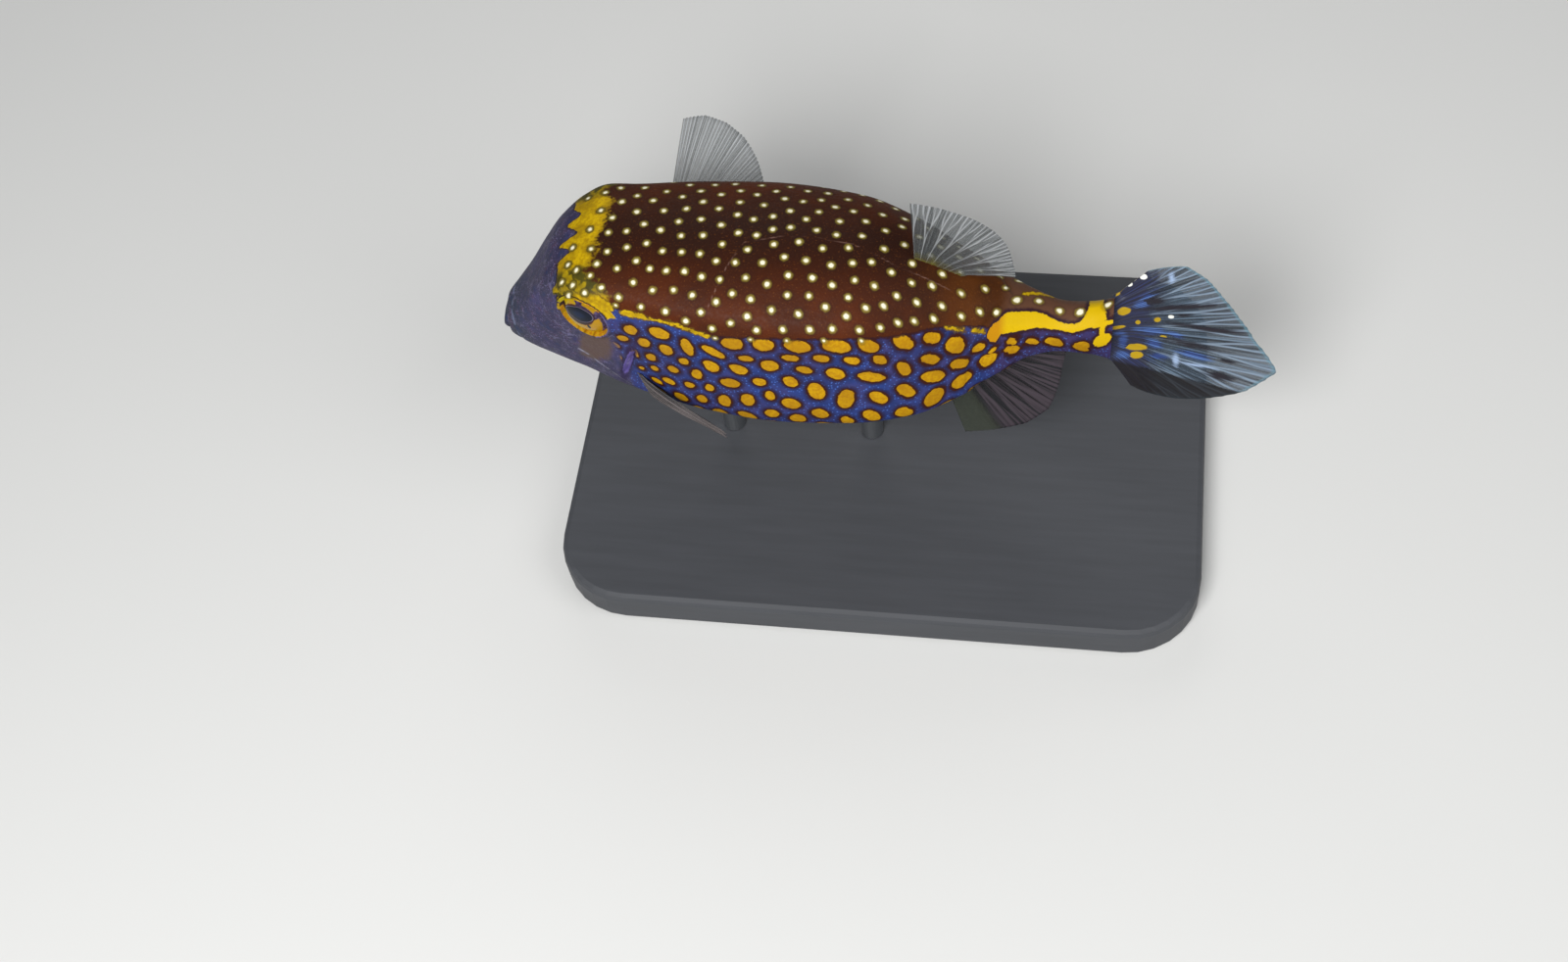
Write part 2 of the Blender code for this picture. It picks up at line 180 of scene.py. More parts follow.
def plug(node, *values, **named):
    """Gives a node's inputs, in order or by name, a value or another node's output."""
    for key, value in (*enumerate(values), *named.items()):
        name = str(key).replace("_", " ")
        found = [socket for socket in node.inputs if socket.enabled and socket.name == name]
        socket = found[0] if found else node.inputs[key]
        if isinstance(value, bpy.types.NodeSocket):
            node.id_data.links.new(value, socket)
        else:
            socket.default_value = value


def add_node(tree, kind, *values, **named):
    """Adds one shader node and gives its output: lower-case names are its settings, the others its inputs."""
    node = tree.nodes.new("ShaderNode" + kind)
    for name in [name for name in named if name.islower()]:
        setattr(node, name, named.pop(name))
    plug(node, *values, **named)
    return next(output for output in node.outputs if output.enabled)


def fade(value, low, high):
    """A soft step: 0 where the value is at low, 1 where it is at high."""
    ends = {"From_Min": low, "From_Max": high, "interpolation_type": "SMOOTHSTEP"}
    return add_node(value.id_data, "MapRange", Value=value, **ends)


def times(first, *others):
    for other in others:
        first = add_node(first.id_data, "Math", first, other, operation="MULTIPLY")
    return first


def largest(first, *others):
    for other in others:
        first = add_node(first.id_data, "Math", first, other, operation="MAXIMUM")
    return first


def linear(code):
    """The linear colour of an sRGB hex code."""
    parts = [int(code[i : i + 2], 16) / 255 for i in (1, 3, 5)]
    return (*[p / 12.92 if p <= 0.04045 else ((p + 0.055) / 1.055) ** 2.4 for p in parts], 1.0)


def layered(base, *layers):
    """Colours laid one over another, each as strongly as its masks, multiplied, say."""
    base = linear(base) if isinstance(base, str) else base
    for over, *masks in layers:
        over = linear(over) if isinstance(over, str) else over
        amount = times(*masks)
        base = add_node(amount.id_data, "Mix", Factor=amount, A=base, B=over, data_type="RGBA")
    return base


def new_material(name):
    """A new material, its surface's shader and the function that adds a node to it."""
    made = bpy.data.materials.new(name)
    made.use_nodes = True
    return made, made.node_tree.nodes["Principled BSDF"], partial(add_node, made.node_tree)


def tube_mesh(name, points):
    """A tube of quads over rings of points, and the quads as rows of point numbers."""
    rings, columns = points.shape[:2]
    ring = np.arange(rings - 1)[:, None] * columns
    here = np.arange(columns)
    beside = np.roll(here, -1)
    faces = np.stack([ring + here, ring + beside, ring + columns + beside, ring + columns + here], -1)
    faces = faces.reshape(-1, 4)
    mesh = bpy.data.meshes.new(name)
    mesh.from_pydata(to_part(points.reshape(-1, 3)).tolist(), [], faces.tolist(), shade_flat=False)
    return mesh, faces


def point_value(mesh, name, values):
    values = np.asarray(values, np.float32).ravel()
    mesh.attributes.new(name, "FLOAT", "POINT").data.foreach_set("value", values)


def corner_map(mesh, name, values):
    mesh.uv_layers.new(name=name).data.foreach_set("uv", np.asarray(values, np.float32).ravel())


def show(name, data):
    """A new object in the scene."""
    piece = bpy.data.objects.new(name, data)
    bpy.context.scene.collection.objects.link(piece)
    return piece


def close_ends(piece):
    """Fills the open rings of a tube and turns all faces outward."""
    bpy.context.view_layer.objects.active = piece
    piece.select_set(True)
    bpy.ops.object.mode_set(mode="EDIT")
    bpy.ops.mesh.select_all(action="SELECT")
    bpy.ops.mesh.fill_holes(sides=0)
    bpy.ops.mesh.select_all(action="SELECT")
    bpy.ops.mesh.normals_make_consistent(inside=False)
    bpy.ops.object.mode_set(mode="OBJECT")
    piece.select_set(False)


def dress(piece, slot, *nodes):
    """Hangs a finished piece on the part in place of the solids that it dresses."""
    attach(piece, "root")
    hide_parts(*nodes)


def facing_out(points):
    """Unit normals of a closed tube of rings."""
    along = np.gradient(points, axis=0)
    around = np.roll(points, -1, axis=1) - np.roll(points, 1, axis=1)
    normals = np.cross(around, along)
    normals /= np.maximum(np.linalg.norm(normals, axis=2, keepdims=True), 1e-9)
    outward = points - points.mean(axis=1, keepdims=True)
    if (normals * outward).sum() < 0:
        normals = -normals
    return normals


def to_line(points, corners):
    """Distance of each point from a line with corners."""
    nearest = np.inf
    for a, b in zip(corners, corners[1:]):
        span = np.subtract(b, a)
        t = np.clip((points - a) @ span / (span @ span), 0, 1)
        nearest = np.minimum(nearest, np.linalg.norm(points - a - t[..., None] * span, axis=-1))
    return nearest


# The ring's points for each one of its outline, and the height round which the lips lie.
STEPS = 7
MOUTH_HEIGHT = 9.2
front_stations = np.arange(1.2, 28.0, 0.27)
rear_stations = np.arange(28.0, STALK_END - 0.05, 0.47)
stations = np.concatenate([front_stations, rear_stations, [STALK_END - 0.02]])
# The lips' rings from inside the mouth out over the lips: x, half width, half height and middle height.
LIPS = (
    (2.6, 1.9, 0.06, 8.45), (1.5, 2.3, 0.10, 8.45), (0.9, 2.45, 0.16, 8.45), (0.5, 2.55, 0.26, 8.5),
    (0.22, 2.65, 0.46, 8.5), (0.03, 2.78, 0.78, 8.5), (-0.05, 2.92, 1.16, 8.52),
    (-0.02, 3.06, 1.56, 8.55), (0.10, 3.18, 1.98, 8.6), (0.28, 3.27, 2.38, 8.65),
    (0.52, 3.33, 2.76, 8.7), (0.82, 3.34, 3.08, 8.75), (1.10, 3.28, 3.34, 8.8),
)


def build_rings():
    """Rings from inside the mouth to the tail fin, with each point's x and way round from the back."""
    rings = []
    girths = []
    for x in stations:
        half = denser(half_section(x), STEPS)
        girth = np.concatenate([[0], np.cumsum(np.linalg.norm(np.diff(half, axis=0), axis=1))])
        right = np.column_stack([np.full(len(half), x), half])
        ring = np.vstack([right, right[-2:0:-1] * (1, -1, 1)])
        ring[:, 1] += swing(x)
        rings.append(ring)
        girths.append(np.concatenate([-girth, girth[-2:0:-1]]))
    angle = np.arctan2(rings[0][:, 2] - MOUTH_HEIGHT, rings[0][:, 1])
    lips = []
    for x, wide, tall, middle in LIPS:
        height = middle + tall * np.sin(angle) + 0.12 * np.abs(np.cos(angle)) ** 3
        lips.append(np.column_stack([np.full(len(angle), x), wide * np.cos(angle), height]))
    x = np.array([0.0] * len(lips) + list(stations))[:, None] * np.ones(len(angle))
    return np.array(lips + rings), x, np.array([girths[0]] * len(lips) + girths)


points, body_x, girth = build_rings()
half_girth = np.abs(girth).max(axis=1, keepdims=True)
# How far the tail stalk's markings run round towards the fish's right.
twist = 4.0 * smooth(body_x, 91, 101)
# Round the body from the back's middle and from the belly's, the left side positive.
from_back = girth + twist
from_belly = np.where(girth > 0, girth - half_girth, girth + half_girth) + twist
side_girth = np.abs(from_back)
both_sides = np.stack([body_x, side_girth], -1)
all_round = np.stack([body_x, from_back], -1)


def eye_axes(side):
    """The way an eye looks, and in its plane forward and upward."""
    axis = unit(np.array(EYE_AXIS) * (1, side, 1))
    upward = unit(np.array([0.0, 0.0, 1.0]) - axis * axis[2])
    forward = unit(np.array([-1.0, 0.0, 0.0]) + axis * axis[0])
    return axis, forward, upward


def about(place, side, axis):
    """Each skin point's offset from a place, height along the axis, and offset and reach across it."""
    offset = points - np.array(place) * (1, side, 1)
    height = offset @ axis
    across = offset - height[..., None] * axis
    return offset, np.abs(height), across, np.linalg.norm(across, axis=-1)


def hump(away, width):
    """A bump that is 1 where away is 0 and fades out over the width."""
    return np.exp(-((away / width) ** 2))


# How far in or out of the skin each one's shaping reaches, so that the other flank stays as it is.
NEAR_EYE = 5
NEAR_NOSTRIL = 3
NEAR_GILL = 4
normals = facing_out(points)
lift = np.zeros(points.shape[:2])
eye_ahead = np.full(points.shape[:2], 99.0)
eye_above = np.full(points.shape[:2], 99.0)
for side in (-1, 1):
    # The eye's round opening, sunk to hold the eye, with a raised lid and a furrow outside it.
    axis, forward, upward = eye_axes(side)
    offset, height, across, reach = about(EYE, side, axis)
    rim = EYE_RIM + 0.25 * smooth(offset[..., 2], 0.0, 4.0)
    on_rim = (height < NEAR_EYE) & (np.abs(reach - rim) < 0.38)
    points = points + np.where(on_rim, rim / np.maximum(reach, 0.1) - 1, 0.0)[..., None] * across
    offset, height, _, reach = about(EYE, side, axis)
    near = height < NEAR_EYE
    eye_ahead = np.where(near, offset @ forward, eye_ahead)
    eye_above = np.where(near, offset @ upward, eye_above)
    above = smooth(offset[..., 2], 0.0, 4.0)
    lid = (0.42 - 0.3 * above) * hump(reach - LID_REACH, 0.5) - 0.16 * hump(reach - FURROW_REACH, 0.35)
    lift += near * (lid - 3.2 * (1 - smooth(reach, rim - 0.42, rim - 0.02)))
    # The nostril: a small pit with a raised edge.
    _, height, _, reach = about(NOSTRIL, side, axis)
    lift += (height < NEAR_NOSTRIL) * (0.34 * hump(reach - 0.78, 0.28) - 0.9 * (1 - smooth(reach, 0.25, 0.6)))
    # The gill slit, behind its swollen edge.
    offset = about(GILL, side, axis)[0]
    tall = 1 - smooth(np.abs(offset[..., 2]), GILL_HALF_HEIGHT - 1.4, GILL_HALF_HEIGHT)
    back = offset[..., 0] - 0.38 * offset[..., 2]
    near = np.abs(offset[..., 1]) < NEAR_GILL
    lift += near * tall * (0.6 * hump(back + 1.0, 0.8) - hump(back, 0.28))
    # The jaw's raised line and the fold at the mouth's corner.
    lift += 0.28 * hump(to_line(points, ((15.5, side * 10.2, 16.5), (27.0, side * 14.2, 6.4))), 0.7)
    fold = to_line(points, ((2.6, side * 4.0, 11.5), (3.6, side * 4.8, 8.2), (3.2, side * 4.4, 5.6)))
    lift -= 0.22 * hump(fold, 0.32)
# The shell's rear edge, which stands out a little over the stalk.
behind_shell = body_x - SHELL_END + 0.65 * np.abs(points[..., 1])
lift -= 0.45 * smooth(behind_shell, -0.3, 0.35) * (1 - smooth(behind_shell, 1.0, 8.0))
lift[: len(LIPS)] = 0
lift[-1] = 0
skin_mesh, skin_faces = tube_mesh("skin", points + normals * lift[..., None])

# Where the brown back ends towards the flank, as x and the way round from the back's middle.
EDGE = (
    (0, 13), (15, 13.2), (20, 13.2), (23, 13.8), (26, 15.3), (30, 16.5), (35, 17.8), (40, 19.2),
    (44, 20.2), (50, 19.8), (60, 19.2), (70, 17.6), (75, 15.9), (80, 13.3), (84, 10.8), (88, 9.2),
    (91, 8.0), (93.5, 8.0), (96, 7.4), (101, 7.2), (106, 7.0), (114, 6.6),
)
# The yellow band over the brow: the signed way round, then the x of its pronged front and its ragged rear.
BROW_BAND = np.array(
    [
        (-19, 12.6, 21.0), (-17.4, 14.6, 22.0), (-15.2, 12.9, 23.5), (-13.2, 15.4, 23.4),
        (-12, 14.9, 23.0), (-9.4, 15.8, 20.8), (-6.3, 16.3, 24.2), (-4.0, 18.2, 22.9),
        (-2.2, 15.9, 22.9), (0.2, 18.3, 22.4), (2.3, 15.1, 22.2), (4.1, 17.6, 22.6), (6.0, 15.5, 22.6),
        (8.8, 15.7, 21.4), (10.5, 15.3, 23.4), (12, 15.5, 25.0), (13.7, 15.1, 26.0), (19, 15.2, 26.0),
    ]
)
# Yellow lines on the back's edge, by half width: the ring over the eye, the strip behind it and its rear end.
GOLD_LINES = (
    (0.85, ((15.8, 14.5), (18.5, 14.3), (21.0, 13.2), (24.0, 14.0), (26.0, 15.6))),
    (0.75, ((28.6, 16.6), (31.8, 17.0))),
    (0.28, ((33.0, 17.3), (37.0, 17.9))),
    (0.42, ((37.0, 17.8), (40.5, 19.1), (43.6, 20.2))),
    (0.3, ((84.8, 10.7), (87.6, 9.9))),
    (0.42, ((89.5, 9.3), (91.2, 8.9))),
)
# A short orange-yellow streak along the top of the stalk, and its half width.
STALK_STREAK = ((97.8, 1.5), (100.5, 1.1), (102.4, 0.4))
STREAK_HALF_WIDTH = 0.45
# Top and bottom of the yellow band along the tail stalk, as x and the way round from its markings' middle.
BAND_TOP = (
    (91.8, 9.6), (92.6, 7.4), (93.6, 6.8), (94.9, 5.2), (97.5, 5.5), (100, 5.7), (102, 5.9),
    (104.4, 6.5), (107, 6.8), (109, 5.6), (111.2, 5.6), (112.0, 7.0), (114, 7.4),
)
BAND_LOW = (
    (91.8, 9.8), (92.5, 11.0), (93.4, 11.0), (94.2, 9.3), (96, 9.2), (99.4, 8.8), (102, 8.1),
    (104.4, 7.8), (106.5, 8.3), (109.4, 7.6), (111, 7.9), (114, 8.1),
)
SCRATCH = ((43, 17), (46.5, 7), (49, 2), (55, 0.5), (60, 0), (68, 0.5), (76, 3), (86, 4))
# Painted highlight: where a pale broken line is drawn along the jaw's raised ridge, as x and way round.
JAW_HIGHLIGHT = ((16.5, 29.0), (20.5, 34.5), (25.5, 39.0))


def along(pairs, x):
    return np.interp(x, *np.array(pairs).T)


def girth_at(x):
    return np.interp(x, body_x[:, 0], half_girth[:, 0])


def edge_at(x):
    return along(EDGE, x)


def yellow_bar():
    """How far inside the stalk's yellow marking a point lies: band, cross bar, blob and their neck."""
    band = np.minimum(side_girth - along(BAND_TOP, body_x), along(BAND_LOW, body_x) - side_girth)
    band = np.where(body_x < 91.7, -3.0, band)
    flare = 1.1 * smooth(side_girth, 3.5, 6.5)
    cross = np.minimum.reduce([body_x - 109.3 + flare, 111.7 + 0.6 * flare - body_x, 7.0 - side_girth])
    blob = 1.5 - np.hypot(body_x - 111.9, 0.88 * (side_girth - 11.3))
    neck = np.minimum.reduce([0.42 - np.abs(body_x - 111.8), side_girth - 6.5, 11.0 - side_girth])
    return np.maximum.reduce([band, cross, blob, neck])


def gill_flap():
    """How far outside the leaf-shaped flap over the gill slit a point lies."""
    from_flap = both_sides - (26.9, 31.7)
    leaf = unit((3.1, -9.1))
    return 0.6 * (np.hypot(from_flap @ leaf / 4.7, from_flap @ (leaf[1], -leaf[0]) / 0.6) - 1)


gold_lines = [width - to_line(both_sides, corners) for width, corners in GOLD_LINES]
gold_lines.append(STREAK_HALF_WIDTH - to_line(all_round, STALK_STREAK))
face_end = 25.2 + 0.10 * np.maximum(side_girth - 26, 0) - 0.9 * smooth(side_girth, 20, 16)
cheek_ahead = (body_x - 20.8 + 0.2 * (side_girth - 28)) / 3.5
markings = {
    "body_x": body_x,
    "side_girth": side_girth,
    "below_edge": side_girth - edge_at(body_x),
    "behind_brow_front": body_x - eased(from_back, BROW_BAND[:, 0], BROW_BAND[:, 1]),
    "behind_brow_rear": body_x - eased(from_back, BROW_BAND[:, 0], BROW_BAND[:, 2]),
    "behind_face": body_x - face_end,
    "behind_lips": body_x - 2.5 - 0.06 * side_girth,
    "gold_line": np.max(gold_lines, axis=0),
    "yellow_bar": yellow_bar(),
    "scratch": to_line(all_round, SCRATCH),
    "cheek": np.hypot(cheek_ahead, (side_girth - 28.3) / 5.0) - 1,
    "jaw_highlight": to_line(both_sides, JAW_HIGHLIGHT),
    "gill_flap": gill_flap(),
    "eye_ahead": eye_ahead,
    "eye_above": eye_above,
}
for name, values in markings.items():
    point_value(skin_mesh, name, values)


# The distance where no spot is within reach, and the place in millimetres that such a corner gets.
NOWHERE = 1e9
FAR_OFF = 60.0


def nearest_spots(across, down, quads, spots, reach):
    """Every quad corner's place, in millimetres along the axes of its nearest spot, and that spot."""
    quad_a = across.ravel()[quads]
    quad_d = down.ravel()[quads]
    torn = np.ptp(quad_d, axis=1) > 10
    middle_a = quad_a.mean(axis=1)
    middle_d = quad_d.mean(axis=1)
    best = np.full(len(quads), NOWHERE)
    chosen = np.zeros(len(quads), int)
    order = np.argsort(middle_a)
    ranked = middle_a[order]

    def along_axes(a, d, turn):
        return a * np.cos(turn) + d * np.sin(turn), d * np.cos(turn) - a * np.sin(turn)

    for index, (a, d, long, short, turn) in enumerate(spots):
        low, high = np.searchsorted(ranked, [a - reach, a + reach])
        near = order[low:high]
        lengthways, crossways = along_axes(middle_a[near] - a, middle_d[near] - d, turn)
        far = (np.hypot(lengthways / long, crossways / short) - 1) * math.sqrt(long * short)
        closer = far < best[near]
        best[near[closer]] = far[closer]
        chosen[near[closer]] = index
    rows = np.array(spots, float)[chosen]
    place = np.stack(along_axes(quad_a - rows[:, :1], quad_d - rows[:, 1:2], rows[:, 4:]), -1)
    place[(best == NOWHERE) | torn] = FAR_OFF
    return place.reshape(-1, 2), np.repeat(rows, 4, axis=0), np.repeat(chosen, 4)


def strewn(low, high, tries, apart, allowed, fixed):
    """Places strewn at random, the fixed ones first: none nearer to another than apart says for its x."""
    places = list(fixed)
    for x, g in chance.uniform(low, high, (tries, 2)):
        if allowed(x, g) and np.hypot(*(np.array(places) - (x, g)).T).min() >= apart(x):
            places.append((x, g))
    return places


def owners(ground, places):
    """For each point of the ground, the place nearest to it and how far that is."""
    nearest = np.full(len(ground), 99.0)
    owner = np.zeros(len(ground), int)
    for index, place in enumerate(places):
        away = np.hypot(*(ground - place).T)
        closer = away < nearest
        nearest[closer] = away[closer]
        owner[closer] = index
    return owner, nearest


def evened(places, held, ground):
    """The places spread evenly, all but the held first ones: each moves to the middle of its own ground."""
    places = np.array(places)
    for _ in range(3):
        owner, _ = owners(ground, places)
        for index in range(held, len(places)):
            own = ground[owner == index]
            places[index] = own.mean(axis=0) if len(own) else places[index]
    return places


LATTICE_STEP = 0.35


def lattice(low, high, inside):
    """Points of a fine square lattice that lie inside."""
    x, g = np.meshgrid(*(np.arange(a, b, LATTICE_STEP) for a, b in zip(low, high)))
    ground = np.column_stack([x.ravel(), g.ravel()])
    return ground[inside(*ground.T)]


# White dots on the brow and in front of the back, and along the stalk's two rows: x and the way round.
BROW_DOTS = (
    (19.6, -19.8), (17.2, -14.4), (23.0, -17.0), (18.6, -8.1), (21.8, -9.0), (24.3, -10.7), (21.9, -4.3),
    (25.4, -6.5), (20.7, 0.0), (24.4, -2.5), (18.0, 3.5), (24.3, 0.9), (17.7, 7.0), (21.7, 4.4),
    (19.6, 8.5), (24.8, 5.0), (16.8, 10.0), (23.3, 7.5), (19.2, 11.2), (22.4, 9.8), (18.2, 12.8),
    (21.6, 12.9), (24.6, 11.9),
)
STALK_DOTS = ((96.7, 3.0), (100.4, 3.2), (104.1, 4.4), (107.7, 4.6), (112.5, 4.2))
BACK = ((24.0, -20.5), (97.0, 20.5))
DOTS_APART = 2.95


def back_spots():
    """Small white dots strewn over the brown back and the yellow brow and in two rows along the stalk, and
    painted highlights as tiny pale dots along the back's edge.
    """
    fixed = list(BROW_DOTS) + [(x, side * g) for side in (-1, 1) for x, g in STALK_DOTS]

    def on_back(x, g, margin):
        return (np.abs(g) < edge_at(x) - margin) & (x > 24) & (x < 96.5 - 0.3 * np.abs(g))

    places = strewn(*BACK, 40000, lambda x: DOTS_APART, lambda x, g: on_back(x, g, 1.4), fixed)
    places = evened(places, len(fixed), lattice(*BACK, lambda x, g: on_back(x, g, 0.2)))
    spots = [(27.2, side * 15.0, 0.26, 0.2, 0.0) for side in (-1, 1)]
    for x, g in places:
        radius = chance.uniform(0.36, 0.45) * (1.3 if x > 96 else 0.9 if x < 23 else 1.0)
        spots.append((x, g, radius, radius, 0.0))
    # Painted highlights: tiny pale dots along the back's edge, where the ridge catches the light.
    for side in (-1, 1):
        for x in np.arange(45.0, 76.0, 6.4):
            spots.append((x, side * (edge_at(x) + 0.3), 0.22, 0.22, 0.0))
    return spots


# Spots cut by the back's edge: x and half length, and for all of them how far below it and half their width.
TOP_ROW = ((48.0, 1.9), (53.6, 1.9), (59.6, 2.3), (66.3, 2.4), (71.7, 1.7), (77.6, 1.7))
TOP_ROW_BELOW = 1.45
TOP_ROW_SHORT = 1.42
# The flank's other spots: x, way round from the back's middle, two radii, turn in degrees.
FLANK_SPOTS = (
    (29.2, 20.9, 1.25, 1.3, 0), (34.7, 20.8, 1.9, 1.35, 10), (27.2, 23.9, 1.0, 0.85, 0),
    (31.2, 24.2, 1.3, 1.1, -60), (35.3, 25.4, 1.4, 1.2, 90), (39.5, 23.6, 2.3, 1.05, 80),
    (44.2, 24.2, 2.4, 0.95, 33), (50.1, 25.1, 1.25, 0.8, 0), (54.2, 26.5, 1.6, 1.4, -20),
    (25.2, 26.5, 0.9, 0.5, 50), (31.9, 28.5, 1.05, 0.95, 90), (38.3, 28.1, 1.0, 0.95, 0),
    (43.4, 28.5, 1.7, 1.3, 60), (48.5, 28.5, 1.65, 1.2, 25), (25.6, 30.3, 0.45, 0.35, 60),
    (29.4, 32.6, 0.5, 0.4, 0), (32.0, 31.9, 0.7, 0.6, 30), (35.8, 31.2, 0.95, 0.95, 0),
    (40.3, 31.5, 1.35, 1.0, 90), (46.4, 32.9, 1.75, 1.2, 0), (52.0, 31.5, 1.2, 1.05, -30),
    (31.9, 35.9, 1.2, 0.6, 40), (34.4, 35.2, 1.3, 0.8, 30), (38.5, 35.3, 0.9, 0.85, 0),
    (42.3, 35.2, 0.95, 0.8, 90), (53.5, 35.4, 1.3, 0.9, 90), (40.3, 39.2, 1.2, 0.95, 90),
    (44.7, 38.7, 1.7, 1.2, 90), (49.2, 37.4, 1.7, 1.3, 90), (38.9, 44.0, 1.5, 1.0, 90),
    (43.1, 43.9, 1.8, 1.4, 90), (48.5, 43.2, 1.9, 1.4, 50), (53.4, 41.0, 1.35, 1.3, 0),
    (58.1, 23.8, 1.5, 0.75, 0), (63.6, 23.1, 1.35, 0.9, 0), (68.8, 22.7, 1.3, 0.9, -10),
    (73.6, 21.3, 1.2, 1.1, 0), (77.6, 22.4, 1.7, 1.2, 90), (82.1, 18.5, 1.7, 1.1, -36),
    (87.1, 17.7, 2.0, 0.95, -44), (60.3, 26.8, 1.45, 0.9, 10), (65.8, 26.9, 1.55, 1.5, 0),
    (72.0, 26.4, 2.4, 1.2, -12), (77.8, 28.3, 1.6, 1.5, 90), (82.5, 22.9, 2.35, 1.2, -40),
    (87.5, 22.1, 3.0, 1.0, -57), (57.5, 30.6, 1.5, 1.2, 60), (62.1, 32.7, 2.3, 1.5, 90),
    (67.2, 33.9, 2.9, 1.35, -75), (73.0, 31.9, 1.6, 1.5, 0), (77.2, 35.0, 2.0, 1.3, -60),
    (82.6, 28.5, 3.3, 1.1, -65), (57.2, 37.2, 1.6, 1.5, 0), (62.3, 39.4, 1.55, 1.4, 0),
    (67.0, 41.2, 1.9, 1.1, 90), (71.5, 37.9, 1.8, 1.5, 90), (82.4, 13.6, 1.6, 1.0, -40),
    (86.4, 13.5, 2.15, 1.4, -63), (90.5, 12.9, 1.6, 0.65, -51), (92.1, 15.5, 2.1, 1.1, -56),
    (92.8, 13.1, 1.05, 0.35, -50), (96.2, 11.2, 0.9, 0.7, 61), (96.2, 13.2, 1.2, 0.85, 26),
    (99.5, 11.7, 1.15, 0.75, 0), (103.4, 10.9, 1.65, 1.05, 8), (108.4, 11.8, 1.45, 1.15, 15),
    (108.2, 16.6, 1.4, 0.9, 0),
)
# Where the flank's small front spots begin, as the way round and x: behind the cheek, the gill and the fin.
FRONT = ((16, 27.5), (20, 26.6), (27, 24.2), (30, 28.4), (36, 29.5), (45, 29.5), (50, 22.5), (60, 24))
# How far from the belly's middle the strewn spots end towards the tail, and how far apart they lie, by x.
KEEL = ((79, 60), (82.5, 13.0), (90, 9.0), (96, 6.5))
ROOM = ((24, 2.9), (38, 3.5), (44, 4.1), (88, 4.1), (98, 3.5))
FLANKS = ((22.0, -50.0), (97.0, 50.0))


def has_spots(x, t, margin):
    """Where a flank or the belly has spots; t is the way round from the belly's middle."""
    below = girth_at(x) - np.abs(t)
    off_keel = np.abs(t) < along(KEEL, x)
    return (below > edge_at(x) + margin) & (x > along(FRONT, below)) & (off_keel | (margin < 1)) & (x < 111.0)


def seen_from_belly(x, below, long, short, turn, side):
    """A flank's spot with its way round counted from the belly's middle, slanted as the girth changes."""
    slope = 0.5 * (girth_at(x + 1) - girth_at(x - 1))
    turn = math.radians(turn)
    axes = np.array([[math.cos(turn), -math.sin(turn)], [math.sin(turn), math.cos(turn)]])
    axes = np.array([[1.0, 0.0], [side * slope, -side]]) @ axes * (long, short)
    spread, turned = np.linalg.eigh(axes @ axes.T)
    short, long = np.sqrt(spread)
    return (x, side * (girth_at(x) - below), long, short, math.atan2(turned[1, 1], turned[0, 1]))


def flank_spots():
    """Gold spots over both flanks and the belly.

    Their way round counts from the belly's middle, so that they run on over it. The back's edge cuts the top
    row. A strewn spot is as long and wide as the room between its neighbours lets it be.
    """
    spots = []
    for side in (-1, 1):
        for x, long in TOP_ROW:
            spots.append(seen_from_belly(x, edge_at(x) + TOP_ROW_BELOW, long, TOP_ROW_SHORT, 0, side))
        for row in FLANK_SPOTS:
            spots.append(seen_from_belly(*row, side))
    fixed = [spot[:2] for spot in spots]

    def allowed(x, t):
        return has_spots(x, t, 1.9 if x < 44 or x > 79 else 3.4)

    places = strewn(*FLANKS, 22000, partial(along, ROOM), allowed, fixed)
    ground = lattice(*FLANKS, lambda x, t: has_spots(x - 0.4, t, 0.2))
    places = evened(places, len(fixed), ground)
    owner, away = owners(ground, places)
    for index in range(len(fixed), len(places)):
        cell = ground[(owner == index) & (away < 3.4)].T
        if cell.shape[1] < 12:
            continue
        spread, turned = np.linalg.eigh(np.cov(cell))
        gap = 1.22 - 0.1 * float(smooth(places[index][0], 38, 50))
        short, long = np.maximum(2 * np.sqrt(spread) - gap, 0.55) * chance.uniform(0.86, 1.08)
        turn = math.atan2(turned[1, 1], turned[0, 1])
        spots.append((*cell.mean(axis=1), min(long, 1.7 * short), short, turn))
    return spots


for name, way_round, spots, reach in (
    ("white_dot_and_glint", from_back, back_spots(), 8),
    ("gold_spot", from_belly, flank_spots(), 9),
):
    place, row, _ = nearest_spots(body_x, way_round, skin_faces, spots, reach)
    corner_map(skin_mesh, name, place)
    corner_map(skin_mesh, name + "_radii", row[:, 2:4])


def past_edge(add, spots):
    """How many millimetres a corner lies outside the edge of its spot, an ellipse of two radii."""
    place = add("UVMap", uv_map=spots)
    radii = add("UVMap", uv_map=spots + "_radii")
    share = add("VectorMath", place, radii, operation="DIVIDE")
    slope = add("VectorMath", share, radii, operation="DIVIDE")
    share = add("VectorMath", share, operation="LENGTH")
    slope = add("VectorMath", slope, operation="LENGTH")
    beyond = add("Math", share, 1.0, operation="SUBTRACT")
    return add("Math", times(beyond, share), slope, operation="DIVIDE")


def within(value, low, high, soft):
    return times(fade(value, low - soft, low + soft), fade(value, high + soft, high - soft))


